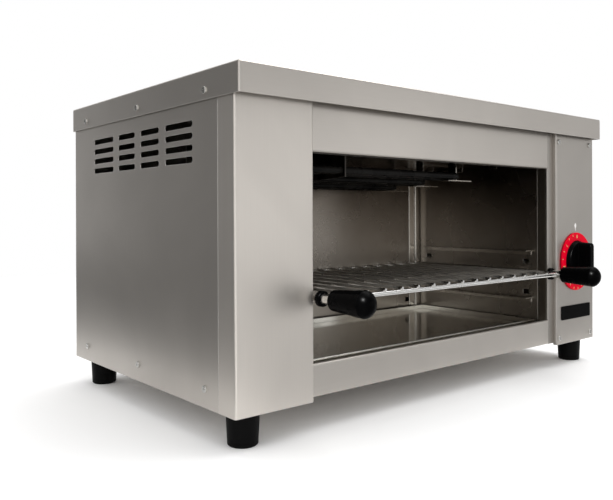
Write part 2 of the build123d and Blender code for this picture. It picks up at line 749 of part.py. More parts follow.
wire_z = rack_z + rack_bar_radius + wire_radius - weld_sink
wire_pitch = (rack_right - rack_left) / (wire_count + 1)
with BuildPart() as rack_cross_wires:
    for number in range(wire_count):
        x = rack_left + (number + 1) * wire_pitch
        bar_along_y(x, wire_z, rack_front_y - wire_past_bar, rack_rear_y + wire_past_bar, wire_radius)
rack_cross_wires.part.label = "rack_cross_wires"
export_step(rack_cross_wires.part, "parts/rack_cross_wires.step")

# ---------------------------------------------------------------- handles
rod_steps = [(0, rod_rear_reach), (rod_radius, rod_rear_reach), (rod_radius, ferrule_start),
             (ferrule_radius, ferrule_start + ferrule_radius - rod_radius),
             (ferrule_radius, grip_start + rod_in_grip), (0, grip_start + rod_in_grip)]
grip_tip = grip_start + grip_length
for side, x in (("left", rack_left), ("right", rack_right)):
    # distance from the axis is the sketch's x, reach in front of the cabinet its y
    profile = Plane(origin=(x, front_y, rack_z), x_dir=(1, 0, 0), z_dir=(0, 0, -1))
    axis = Axis((x, front_y, rack_z), (0, -1, 0))

    with BuildPart() as handle_rod:
        with BuildSketch(profile):
            with BuildLine():
                Polyline(*rod_steps, close=True)
            make_face()
        revolve(axis=axis)
    handle_rod.part.label = f"handle_rod_{side}"
    export_step(handle_rod.part, f"parts/handle_rod_{side}.step")

    with BuildPart() as handle_collar:
        collar_front_y = front_y - collar_start - collar_length
        bar_along_y(x, rack_z, collar_front_y, front_y - collar_start, collar_radius)
        fillet(handle_collar.edges().filter_by(GeomType.CIRCLE).group_by(Axis.Y)[0], collar_round)
        bar_along_y(x, rack_z, collar_front_y, front_y - collar_start, rod_radius + slip_fit, Mode.SUBTRACT)
    handle_collar.part.label = f"handle_collar_{side}"
    export_step(handle_collar.part, f"parts/handle_collar_{side}.step")

    with BuildPart() as handle_grip:
        with BuildSketch(profile):
            with BuildLine():
                Line((0, grip_start), (grip_rear_radius, grip_start))
                Line((grip_rear_radius, grip_start), (grip_front_radius, grip_tip - grip_dome))
                TangentArc((0, grip_tip), (grip_front_radius, grip_tip - grip_dome), tangent=(1, 0))
                Line((0, grip_tip), (0, grip_start))
            make_face()
        revolve(axis=axis)
        fillet(handle_grip.edges().sort_by(Axis.Y)[-1], grip_rear_round)
        bar_along_y(x, rack_z, front_y - grip_start - rod_in_grip, front_y - grip_start + sheet,
                    ferrule_radius + slip_fit, Mode.SUBTRACT)
    handle_grip.part.label = f"handle_grip_{side}"
    export_step(handle_grip.part, f"parts/handle_grip_{side}.step")

# ---------------------------------------------------------------- dial, knob and spindle
dial_back_y = front_y - dial_gap
dial_front_y = dial_back_y - dial_thickness
with BuildPart() as dial_ring:
    bar_along_y(dial_x, dial_z, dial_front_y, dial_back_y, dial_radius)
    chamfer(dial_ring.edges().filter_by(GeomType.CIRCLE).group_by(Axis.Y)[0], dial_bevel)
    bar_along_y(dial_x, dial_z, dial_front_y, dial_back_y, dial_hole, Mode.SUBTRACT)
dial_ring.part.label = "dial_ring"
export_step(dial_ring.part, "parts/dial_ring.step")

skirt_front_y = dial_front_y - knob_skirt
with BuildPart() as knob:
    with BuildSketch(Plane(origin=(dial_x, dial_front_y, dial_z), x_dir=(1, 0, 0), z_dir=(0, -1, 0))):
        Circle(knob_radius)
    with BuildSketch(Plane(origin=(dial_x, skirt_front_y, dial_z), x_dir=(1, 0, 0), z_dir=(0, -1, 0))):
        Circle(knob_front_radius)
    loft()
    fillet(knob.edges().filter_by(GeomType.CIRCLE).sort_by(Axis.Y)[0], knob_skirt_round)
    with BuildSketch(Plane(origin=(dial_x, skirt_front_y, dial_z), x_dir=(1, 0, 0), z_dir=(0, -1, 0))):
        SlotOverall(2 * knob_front_radius, knob_bar_width, rotation=90)
    extrude(amount=knob_bar_height, taper=knob_bar_taper)
    fillet(knob.faces().sort_by(Axis.Y)[0].edges(), knob_bar_round)
    bar_along_y(dial_x, dial_z, dial_front_y - knob_hollow_depth, dial_front_y, knob_hollow, Mode.SUBTRACT)
    bar_along_y(dial_x, dial_z, front_y - spindle_reach, dial_front_y, spindle_radius + slip_fit,
                Mode.SUBTRACT)
knob.part.label = "knob"
export_step(knob.part, "parts/knob.step")

with BuildPart() as knob_spindle:
    bar_along_y(dial_x, dial_z, front_y - spindle_reach, front_y + spindle_depth, spindle_radius)
knob_spindle.part.label = "knob_spindle"
export_step(knob_spindle.part, "parts/knob_spindle.step")

# ---------------------------------------------------------------- power regulator
regulator_front_y = front_y + sheet
regulator_back_y = regulator_front_y + regulator_depth
tag_xs = (dial_x - tag_spread_x / 2, dial_x + tag_spread_x / 2)
tag_zs = (dial_z - tag_spread_z / 2, dial_z + tag_spread_z / 2)
tag_end_y = regulator_back_y + tag_length
with BuildPart() as regulator_body:
    slab((dial_x - regulator_width / 2, regulator_front_y, dial_z - regulator_height / 2),
         (dial_x + regulator_width / 2, regulator_back_y, dial_z + regulator_height / 2))
    fillet(regulator_body.edges().filter_by(Axis.Y), regulator_corner)
    bar_along_y(dial_x, dial_z, front_y - bush_reach, regulator_front_y, regulator_bush)
    bar_along_y(dial_x, dial_z, front_y - bush_reach, front_y + spindle_depth + sheet,
                spindle_radius + slip_fit, Mode.SUBTRACT)
    for x in tag_xs:
        for z in tag_zs:
            slab((x - tag_thickness / 2, regulator_back_y, z - tag_width / 2),
                 (x + tag_thickness / 2, tag_end_y, z + tag_width / 2))
regulator_body.part.label = "regulator_body"
export_step(regulator_body.part, "parts/regulator_body.step")

with BuildPart() as regulator_nut:
    with BuildSketch(Plane(origin=(dial_x, front_y, dial_z), x_dir=(1, 0, 0), z_dir=(0, -1, 0))):
        RegularPolygon(nut_hex / 2, 6, major_radius=False)
        Circle(regulator_bush + slip_fit, mode=Mode.SUBTRACT)
    extrude(amount=nut_thickness)
regulator_nut.part.label = "regulator_nut"
export_step(regulator_nut.part, "parts/regulator_nut.step")

# ---------------------------------------------------------------- badge plate, left bare
with BuildPart() as badge_plate:
    with BuildSketch(Plane(origin=(dial_x, front_y, base_z + badge_low + badge_height / 2),
                           x_dir=(1, 0, 0), z_dir=(0, -1, 0))):
        RectangleRounded(badge_width, badge_height, badge_corner)
    extrude(amount=badge_thickness)
badge_plate.part.label = "badge_plate"
export_step(badge_plate.part, "parts/badge_plate.step")

# ---------------------------------------------------------------- cable gland and terminal block
behind = Plane(origin=(gland_x, back_y, gland_z), x_dir=(-1, 0, 0), z_dir=(0, 1, 0))
with BuildPart() as cable_gland:
    bar_along_y(gland_x, gland_z, back_y - gland_inside, back_y, gland_thread)
    with BuildSketch(behind):
        RegularPolygon(gland_hex / 2, 6, major_radius=False)
    extrude(amount=gland_hex_length)
    bar_along_y(gland_x, gland_z, back_y + gland_hex_length, back_y + gland_reach, gland_cap_radius)
    fillet(cable_gland.edges().sort_by(Axis.Y)[-1], gland_cap_round)
    bar_along_y(gland_x, gland_z, back_y - gland_inside, back_y + gland_reach, gland_bore, Mode.SUBTRACT)
cable_gland.part.label = "cable_gland"
export_step(cable_gland.part, "parts/cable_gland.step")

with BuildPart() as gland_locknut:
    with BuildSketch(Plane(origin=(gland_x, back_y - sheet, gland_z), x_dir=(1, 0, 0), z_dir=(0, -1, 0))):
        RegularPolygon(gland_hex / 2, 6, major_radius=False)
        Circle(gland_thread + slip_fit, mode=Mode.SUBTRACT)
    extrude(amount=locknut_thickness)
gland_locknut.part.label = "gland_locknut"
export_step(gland_locknut.part, "parts/gland_locknut.step")

supply_x = tag_xs[1]
supply_ys = (block_y - supply_spread / 2, block_y + supply_spread / 2)
block_top = pan_top + block_height
with BuildPart() as terminal_block:
    slab((supply_x - block_width / 2, block_y - block_depth / 2, pan_top),
         (supply_x + block_width / 2, block_y + block_depth / 2, block_top))
    chamfer(terminal_block.edges().filter_by(Axis.X).group_by(Axis.Z)[-1], block_bevel)
terminal_block.part.label = "terminal_block"
export_step(terminal_block.part, "parts/terminal_block.step")


# ---------------------------------------------------------------- inner leads
def lead(*points):
    """Insulated wire along straight runs with rounded bends."""
    with BuildPart() as wire:
        with BuildLine() as route:
            FilletPolyline(*points, radius=lead_bend)
        with BuildSketch(Plane(origin=points[0], z_dir=route.line % 0)):
            Circle(lead_radius)
        sweep()
    return wire.part


with BuildPart() as supply_leads:
    for z, y in zip(tag_zs, supply_ys):
        add(lead((supply_x, tag_end_y, z), (supply_x, y, z), (supply_x, y, block_top)))
supply_leads.part.label = "supply_leads"
export_step(supply_leads.part, "parts/supply_leads.step")

heater_x = tag_xs[0]
behind_wall_y = cavity_back + sheet + lead_wall_gap + lead_radius
live_lead_x = live_bar_x + sheet / 2
neutral_lead_x = neutral_bar_x + sheet / 2
turn_y = behind_wall_y + lead_step_back
with BuildPart() as heater_leads:
    for z, x, end_y, end_z in ((tag_zs[0], live_lead_x, live_end_y, live_end_z),
                               (tag_zs[1], neutral_lead_x, neutral_end_y, neutral_end_z)):
        add(lead((heater_x, tag_end_y, z), (heater_x, behind_wall_y, z), (x, behind_wall_y, z),
                 (x, turn_y, z), (x, turn_y, end_z), (x, end_y, end_z)))
heater_leads.part.label = "heater_leads"
export_step(heater_leads.part, "parts/heater_leads.step")

clip_reach = lead_radius + clip_wall
with BuildPart() as lead_clips:
    for x in spread(cavity_left + clip_inset, cavity_right - clip_inset, clip_count):
        slab((x - clip_width / 2, cavity_back + sheet, tag_zs[0] - clip_reach),
             (x + clip_width / 2, behind_wall_y + clip_reach, tag_zs[1] + clip_reach))
        for z in tag_zs:
            bar_along_x(behind_wall_y, z, x - clip_width, x + clip_width, lead_radius + slip_fit,
                        Mode.SUBTRACT)
lead_clips.part.label = "lead_clips"
export_step(lead_clips.part, "parts/lead_clips.step")

# ---------------------------------------------------------------- feet
foot_names = ("foot_front_left", "foot_back_left", "foot_front_right", "foot_back_right")
for name, (x, y) in zip(foot_names, foot_points):
    with BuildPart() as foot:
        with BuildSketch(Plane.XY):
            with Locations((x, y)):
                Circle(foot_bottom_radius)
        with BuildSketch(Plane.XY.offset(foot_height)):
            with Locations((x, y)):
                Circle(foot_top_radius)
        loft()
        chamfer(foot.edges().filter_by(GeomType.CIRCLE).sort_by(Axis.Z)[0], foot_bevel)
        with Locations((x, y, foot_height - bolt_length / 2)):
            Cylinder(bolt_radius + slip_fit, bolt_length, mode=Mode.SUBTRACT)
    foot.part.label = name
    export_step(foot.part, f"parts/{name}.step")

with BuildPart() as foot_bolts:
    for x, y in foot_points:
        with Locations((x, y, pan_top + bolt_head_height / 2)):
            Cylinder(bolt_head_radius, bolt_head_height)
        with Locations((x, y, pan_top - bolt_length / 2)):
            Cylinder(bolt_radius, bolt_length)
foot_bolts.part.label = "foot_bolts"
export_step(foot_bolts.part, "parts/foot_bolts.step")


# ---------------------------------------------------------------- screws
def screw(point, outward, length):
    """Pan-head screw whose head sits on a face at point and points outward."""
    seat = Plane(origin=point, z_dir=outward)
    with BuildPart() as one:
        with BuildSketch(seat):
            Circle(screw_head_radius)
        extrude(amount=screw_head_height)
        fillet(one.faces().filter_by(GeomType.PLANE).sort_by(Axis(point, outward))[-1].edges(),
               screw_head_round)
        with BuildSketch(seat):
            Circle(screw_radius)
        extrude(amount=-length)
        with BuildSketch(seat.offset(screw_head_height)):
            for angle in (0, 90):
                Rectangle(screw_head_radius, screw_slot, rotation=angle)
        extrude(amount=-screw_socket, mode=Mode.SUBTRACT)
    return one.part


with BuildPart() as side_screws:
    for y, z in side_screw_points:
        add(screw((left_x, y, z), (-1, 0, 0), screw_length))
        add(screw((right_x, y, z), (1, 0, 0), screw_length))
side_screws.part.label = "side_screws"
export_step(side_screws.part, "parts/side_screws.step")

with BuildPart() as lid_screws:
    for y, z in lid_screw_points:
        add(screw((lid_left, y, z), (-1, 0, 0), screw_length))
        add(screw((lid_right, y, z), (1, 0, 0), screw_length))
lid_screws.part.label = "lid_screws"
export_step(lid_screws.part, "parts/lid_screws.step")

with BuildPart() as panel_screws:
    for x, z in panel_screw_points:
        add(screw((x, front_y, z), (0, -1, 0), screw_length))
panel_screws.part.label = "panel_screws"
export_step(panel_screws.part, "parts/panel_screws.step")

with BuildPart() as back_screws:
    for x, z in back_screw_points:
        add(screw((x, back_y, z), (0, 1, 0), screw_length))
back_screws.part.label = "back_screws"
export_step(back_screws.part, "parts/back_screws.step")
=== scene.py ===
# %% [markdown]
# # A cheese melter in brushed steel
# This lesson dresses a finished model of a counter-top grill. The model already has its real sizes,
# so nothing here moves or resizes it. What is left to do is the surfaces: brushed and heat-toned
# steel, chromed wire, black moulded plastic, a printed dial, and the small pieces a maker adds last.
# The first cell loads the model.

# %% Load the model
import math
import random

import bmesh
import bpy
from mathutils import Matrix, Vector


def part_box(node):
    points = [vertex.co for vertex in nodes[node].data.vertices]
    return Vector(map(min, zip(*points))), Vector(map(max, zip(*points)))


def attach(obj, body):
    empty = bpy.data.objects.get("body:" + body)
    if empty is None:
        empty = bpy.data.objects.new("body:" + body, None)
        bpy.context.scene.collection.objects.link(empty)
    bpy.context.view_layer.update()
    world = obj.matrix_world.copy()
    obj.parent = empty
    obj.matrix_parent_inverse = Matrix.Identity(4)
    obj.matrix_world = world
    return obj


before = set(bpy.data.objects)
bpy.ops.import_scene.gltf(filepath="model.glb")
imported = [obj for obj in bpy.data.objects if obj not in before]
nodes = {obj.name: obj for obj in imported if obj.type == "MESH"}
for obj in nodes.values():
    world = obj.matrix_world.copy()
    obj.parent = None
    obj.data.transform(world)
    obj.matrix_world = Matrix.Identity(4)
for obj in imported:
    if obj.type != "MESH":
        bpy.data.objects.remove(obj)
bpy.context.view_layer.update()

MM = 0.001

# %% [markdown]
# ## The camera
# The cabinet was photographed with a level camera, a little above its middle. A level camera keeps
# upright edges upright, and the horizon is moved up in the frame with the lens shift instead of by
# tilting. The focal length is known in pixels of the picture, and the lens in millimetres follows
# from it and from the width of Blender's sensor. The picture was turned by a fraction of a degree, so
# the camera rolls by the same.

# %% Camera
IMAGE_WIDTH = 613
IMAGE_HEIGHT = 500
SENSOR_WIDTH = 36.0
FOCAL_PIXELS = 687.354
HORIZON_ROW = 213.307
CAMERA_SIDE = -0.61813
CAMERA_BEFORE_CABINET = 0.47836
CAMERA_HEIGHT = 0.20310
CAMERA_TURN = math.radians(-39.798)
CAMERA_ROLL = math.radians(0.1985)

camera_data = bpy.data.cameras.new("camera")
camera_data.sensor_width = SENSOR_WIDTH
camera_data.lens = FOCAL_PIXELS * SENSOR_WIDTH / IMAGE_WIDTH
camera_data.shift_y = (HORIZON_ROW - IMAGE_HEIGHT / 2) / IMAGE_WIDTH
camera_data.clip_start = 10 * MM
camera = bpy.data.objects.new("camera", camera_data)
cabinet_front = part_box("left_front_column")[0].y
camera.location = (CAMERA_SIDE, cabinet_front - CAMERA_BEFORE_CABINET, CAMERA_HEIGHT)
camera.rotation_euler = (math.radians(90), CAMERA_ROLL, CAMERA_TURN)
bpy.context.scene.collection.objects.link(camera)
bpy.context.scene.camera = camera
print("lens", round(camera_data.lens, 2), "mm, shift", round(camera_data.shift_y, 4))

# %% [markdown]
# ## Small helpers for shader nodes
# Every finish below is a node tree. Writing trees by hand gets long, so small helpers keep the later
# cells readable. One adds a node and one feeds a socket with either a number or another socket. The
# others stand for what is used over and over: sums, ranges, weighted means, blends of two colours,
# cloudy noise, and the place on a piece, which Blender measures in metres from the object's origin.

# %% Node helpers
def add_node(tree, kind, **settings):
    """A new node of that kind, with its settings."""
    made = tree.nodes.new(kind)
    for name, value in settings.items():
        setattr(made, name, value)
    return made


def feed(tree, socket, value):
    """Links a socket to value if that is a socket too, or else writes it in."""
    if isinstance(value, bpy.types.NodeSocket):
        tree.links.new(value, socket)
    else:
        socket.default_value = value


def maths(tree, operation, first, second=0.0, clamp=False):
    """The result of one Math node."""
    made = add_node(tree, "ShaderNodeMath", operation=operation, use_clamp=clamp)
    feed(tree, made.inputs[0], first)
    feed(tree, made.inputs[1], second)
    return made.outputs[0]


def stretch_range(tree, value, low, high, new_low=0.0, new_high=1.0):
    """The value, moved from one range to another and held inside it."""
    made = add_node(tree, "ShaderNodeMapRange", clamp=True)
    for name, number in (("Value", value), ("From Min", low), ("From Max", high),
                         ("To Min", new_low), ("To Max", new_high)):
        feed(tree, made.inputs[name], number)
    return made.outputs["Result"]


def between(tree, share, low, high):
    """A value between two, by a share from 0 to 1."""
    return stretch_range(tree, share, 0.0, 1.0, low, high)


def weighted(tree, first, second, weight):
    """The mean of two values, where the first has the given weight and the second the rest."""
    return maths(tree, "ADD", maths(tree, "MULTIPLY", first, weight),
                 maths(tree, "MULTIPLY", second, 1.0 - weight))


def blend_colours(tree, share, first, second):
    """A colour between two, by a share from 0 to 1."""
    made = add_node(tree, "ShaderNodeMix", data_type="RGBA")
    feed(tree, made.inputs[0], share)
    feed(tree, made.inputs[6], first)
    feed(tree, made.inputs[7], second)
    return made.outputs[2]


def noise(tree, vector, scale, detail=2.0, distortion=0.0):
    """Cloudy noise between 0 and 1."""
    made = add_node(tree, "ShaderNodeTexNoise")
    feed(tree, made.inputs["Vector"], vector)
    feed(tree, made.inputs["Scale"], scale)
    feed(tree, made.inputs["Detail"], detail)
    feed(tree, made.inputs["Distortion"], distortion)
    return made.outputs["Fac"]


def object_place(tree):
    """The place on a piece, which stays with the piece when it moves."""
    return add_node(tree, "ShaderNodeTexCoord").outputs["Object"]


def along(tree, vector, axis):
    """How far a vector reaches along one axis."""
    made = add_node(tree, "ShaderNodeSeparateXYZ")
    feed(tree, made.inputs[0], vector)
    return made.outputs[axis]


print("node helpers ready")

# %% [markdown]
# ## Helpers for node groups
# An effect that several finishes share, such as grain or wear, is built once as a node group and then
# placed in each material with values of its own. A group needs named sockets on its outside, so one
# helper makes an empty group with them, and the other places a group and hands back what it puts out.

# %% Group helpers
def new_group(name, inputs, outputs):
    """An empty node group; inputs and outputs map a socket's name to its first value."""
    kinds = {float: "NodeSocketFloat", tuple: "NodeSocketVector"}
    group = bpy.data.node_groups.new(name, "ShaderNodeTree")
    for label, value in inputs.items():
        socket = group.interface.new_socket(label, in_out="INPUT", socket_type=kinds[type(value)])
        socket.default_value = value
    for label in outputs:
        kind = "NodeSocketVector" if label == "Normal" else "NodeSocketFloat"
        group.interface.new_socket(label, in_out="OUTPUT", socket_type=kind)
    return group, add_node(group, "NodeGroupInput").outputs, add_node(group, "NodeGroupOutput").inputs


def use_group(tree, group, **values):
    """Places a group in a material with its own values, and returns what it puts out."""
    placed = add_node(tree, "ShaderNodeGroup", node_tree=group)
    for name, value in values.items():
        feed(tree, placed.inputs[name.replace("_", " ").capitalize()], value)
    return placed.outputs


print("group helpers ready")

# %% [markdown]
# ## Brushed grain
# Stainless sheet is sold with a grain: thousands of fine parallel lines from an abrasive belt. Noise
# that is squeezed across the belt's direction and drawn out along it gives just that. A broad and a
# fine layer are mixed, because a real belt leaves lines of several widths.

# %% Group: sheet grain
BROAD_LINES = 1.0
FINE_LINES = 3.1
BROAD_WEIGHT = 0.45
GRAIN_FADE = (0.32, 0.68)

sheet_grain, given, out = new_group("sheet grain", {"Stretch": (12.0, 400.0, 400.0)}, ["Grain"])
squeezed = add_node(sheet_grain, "ShaderNodeVectorMath", operation="MULTIPLY")
feed(sheet_grain, squeezed.inputs[0], object_place(sheet_grain))
feed(sheet_grain, squeezed.inputs[1], given["Stretch"])
broad = noise(sheet_grain, squeezed.outputs[0], BROAD_LINES, detail=2.0)
fine = noise(sheet_grain, squeezed.outputs[0], FINE_LINES, detail=3.0)
mixed = weighted(sheet_grain, broad, fine, BROAD_WEIGHT)
feed(sheet_grain, out["Grain"], stretch_range(sheet_grain, mixed, *GRAIN_FADE))
print("group", sheet_grain.name)

# %% [markdown]
# ## Smudges
# Sheet that people touch and wipe is never even. Large soft clouds change how matt the steel is, and
# that is what shows as slow, smoky variation when light slides over a panel.

# %% Group: smudges
# The outer steel also uses these clouds, large and strong, as painted reflection.
smudges, given, out = new_group("smudges", {"Size": 7.0, "Contrast": 0.5}, ["Smudge"])
clouds = noise(smudges, object_place(smudges), given["Size"], detail=4.0, distortion=0.6)
centred = maths(smudges, "SUBTRACT", clouds, 0.5)
spread = maths(smudges, "MULTIPLY", maths(smudges, "MULTIPLY", centred, 2.0), given["Contrast"])
feed(smudges, out["Smudge"], maths(smudges, "ADD", spread, 0.5, clamp=True))
print("group", smudges.name)

# %% [markdown]
# ## Worn and polished edges
# Folds and cut edges get rubbed bright. A Bevel node gives the normal that a rounded edge would have,
# and where this differs from the true normal there is an edge. A little noise breaks the line up, so
# that it reads as wear and not as a drawn outline. The group also hands the rounded normal on, which
# gives cut edges the hair-fine highlight that no real sheet is without.

# %% Group: edge wear
EDGE_FADE = (0.01, 0.2)
PATCH_SCALE = 90.0

edge_wear, given, out = new_group("edge wear", {"Width": 1.2 * MM, "Patchiness": 0.4}, ["Edge", "Normal"])
rounded = add_node(edge_wear, "ShaderNodeBevel", samples=4)
feed(edge_wear, rounded.inputs["Radius"], given["Width"])
match = add_node(edge_wear, "ShaderNodeVectorMath", operation="DOT_PRODUCT")
feed(edge_wear, match.inputs[0], rounded.outputs["Normal"])
feed(edge_wear, match.inputs[1], add_node(edge_wear, "ShaderNodeNewGeometry").outputs["Normal"])
edge = stretch_range(edge_wear, maths(edge_wear, "SUBTRACT", 1.0, match.outputs["Value"]), *EDGE_FADE)
patches = noise(edge_wear, object_place(edge_wear), PATCH_SCALE, detail=3.0)
gaps = maths(edge_wear, "MULTIPLY", patches, given["Patchiness"])
feed(edge_wear, out["Edge"], maths(edge_wear, "MULTIPLY", edge, maths(edge_wear, "SUBTRACT", 1.0, gaps)))
feed(edge_wear, out["Normal"], rounded.outputs["Normal"])
print("group", edge_wear.name)

# %% [markdown]
# ## Hairline scratches
# Cleaning leaves single hairlines that cross the grain at all angles. Very long, very thin noise,
# turned to an angle and cut off high, leaves only a few such lines.

# %% Group: hairlines
LINE_SIZE = (120 * MM, 1.1 * MM, 1.1 * MM)
LINE_ANGLES = ((0.3, 0.5, 0.9), (1.2, 0.2, 2.1))
LINE_CUT = 0.80
CUT_DROP = 0.2
LINE_SHARPNESS = 14.0

hairlines, given, out = new_group("hairlines", {"Density": 0.3}, ["Line"])
lowered = maths(hairlines, "MULTIPLY", given["Density"], CUT_DROP)
threshold = maths(hairlines, "SUBTRACT", LINE_CUT, lowered)
lines = 0.0
for angles in LINE_ANGLES:
    turned = add_node(hairlines, "ShaderNodeMapping", vector_type="TEXTURE")
    feed(hairlines, turned.inputs["Vector"], object_place(hairlines))
    turned.inputs["Rotation"].default_value = angles
    turned.inputs["Scale"].default_value = LINE_SIZE
    streak = noise(hairlines, turned.outputs["Vector"], 1.0, detail=1.0)
    above = maths(hairlines, "SUBTRACT", streak, threshold)
    kept = maths(hairlines, "MULTIPLY", above, LINE_SHARPNESS, clamp=True)
    lines = maths(hairlines, "ADD", lines, kept, clamp=True)
feed(hairlines, out["Line"], lines)
print("group", hairlines.name)

# %% [markdown]
# ## Heat tone
# Steel that has been hot turns straw and then brown. In the cavity that is strongest near the tubes
# and fades towards the floor, so the group measures height, with noise to keep the border soft.

# %% Group: heat tone
HEAT_CLOUDS = 14.0
HEAT_WOBBLE = 80 * MM

heights = {"Cool height": 100 * MM, "Hot height": 260 * MM}
heat_tone, given, out = new_group("heat tone", heights, ["Heat"])
place = object_place(heat_tone)
clouds = noise(heat_tone, place, HEAT_CLOUDS, detail=3.0)
wobble = maths(heat_tone, "MULTIPLY", maths(heat_tone, "SUBTRACT", clouds, 0.5), HEAT_WOBBLE)
height = maths(heat_tone, "ADD", along(heat_tone, place, "Z"), wobble)
feed(heat_tone, out["Heat"], stretch_range(heat_tone, height, given["Cool height"], given["Hot height"]))
print("group", heat_tone.name)

# %% [markdown]
# ## Dust and moulded skin
# Dust settles only on what faces up. Moulded plastic has a fine leathery skin from the spark-eroded
# mould. Both are plain masks, so any material can use them for colour, roughness or a bump.

# %% Group: dust
FACING_UP = (0.4, 0.95)
DUST_CLOUDS = 60.0

dust, given, out = new_group("dust", {"Amount": 0.4}, ["Dust"])
facing = along(dust, add_node(dust, "ShaderNodeNewGeometry").outputs["Normal"], "Z")
clouds = noise(dust, object_place(dust), DUST_CLOUDS, detail=4.0)
settled = maths(dust, "MULTIPLY", stretch_range(dust, facing, *FACING_UP), clouds)
feed(dust, out["Dust"], maths(dust, "MULTIPLY", settled, given["Amount"], clamp=True))
print("group", dust.name)

# %% Group: moulded skin
SKIN_CLOUDS = 300.0
PEBBLE_WEIGHT = 0.6

moulded_skin, given, out = new_group("moulded skin", {"Fineness": 1400.0}, ["Skin"])
pebbles = add_node(moulded_skin, "ShaderNodeTexVoronoi")
feed(moulded_skin, pebbles.inputs["Vector"], object_place(moulded_skin))
feed(moulded_skin, pebbles.inputs["Scale"], given["Fineness"])
clouds = noise(moulded_skin, object_place(moulded_skin), SKIN_CLOUDS, detail=2.0)
feed(moulded_skin, out["Skin"], weighted(moulded_skin, pebbles.outputs["Distance"], clouds, PEBBLE_WEIGHT))
print("group", moulded_skin.name)

# %% [markdown]
# ## Materials
# A material starts from Blender's Principled shader. Numbers that are the same all over go straight
# into its sockets, and only what changes over the surface comes from the groups. A bump gives a small
# texture its depth in light and shade, without a single extra face.

# %% Material helpers
def new_material(name, metallic, roughness, **sockets):
    """A material with its tree and shader; extra values are written into the shader's sockets."""
    made = bpy.data.materials.new(name)
    made.use_nodes = True
    tree = made.node_tree
    shader = tree.nodes["Principled BSDF"]
    shader.inputs["Metallic"].default_value = metallic
    shader.inputs["Roughness"].default_value = roughness
    for label, value in sockets.items():
        shader.inputs[label.replace("_", " ")].default_value = value
    return made, tree, shader.inputs


def bump(tree, height, strength, distance, below=None):
    """A normal from a height that changes over the surface, on top of another normal if given."""
    made = add_node(tree, "ShaderNodeBump")
    if below:
        feed(tree, made.inputs["Normal"], below)
    made.inputs["Strength"].default_value = strength
    made.inputs["Distance"].default_value = distance
    feed(tree, made.inputs["Height"], height)
    return made.outputs["Normal"]


def shade(red, green, blue):
    """A colour with full opacity."""
    return (red, green, blue, 1.0)


print("material helpers ready")

# %% [markdown]
# ## Brushed stainless
# The outside is one steel, but the grain runs along each piece: along the lid, the header and the rail,
# and up the column, the panels and the stile. So one function makes the finish and takes the grain's
# stretch, and six materials come from it. The column's copy is lighter and the panel's and the stile's
# are darker: painted light and painted shade, for how much light each sheet reflects. Steel is metallic
# all over; what varies is how matt it is and how bright, with large dark clouds of painted reflection
# that stand for the room's smoky reflections. The stile's fold turns in to the hot cavity, and the
# function can also paint shade in dark brown on a sheet behind a given depth, for the shade in that fold.

# %% Steel tones and grain directions
STEEL_DARK = shade(0.650, 0.609, 0.562)
STEEL_LIGHT = shade(0.693, 0.652, 0.604)
STEEL_RUBBED = shade(0.80, 0.785, 0.76)
# Painted shade for the stile's fold into the cavity, and the depth over which it fades in.
RECESS_SHADE = shade(0.17, 0.15, 0.125)
RECESS_SHADE_FADE = 3 * MM
GRAIN_ACROSS = 900.0
GRAIN_ALONG = 8.0
ALONG_X = (GRAIN_ALONG, GRAIN_ACROSS, GRAIN_ACROSS)
ALONG_Y = (GRAIN_ACROSS, GRAIN_ALONG, GRAIN_ACROSS)
ALONG_Z = (GRAIN_ACROSS, GRAIN_ACROSS, GRAIN_ALONG)
print("grain lines are", round(GRAIN_ACROSS / GRAIN_ALONG), "times as long as wide")

# %% Brushed stainless
# The next two numbers set how much and how dark the painted reflection clouds are.
PAINTED_REFLECTION_SHARE = 0.22
PAINTED_REFLECTION_TONE = 0.3
RUBBED_SHARE = 0.7
SCRATCH_SHARE = 0.1
SATIN_SPREAD = 0.03
SMUDGE_SPREAD = 0.08
EDGE_POLISH = 0.1


def dimmed(colour, share):
    """The same colour at a share of its brightness."""
    return shade(*(channel * share for channel in colour[:3]))


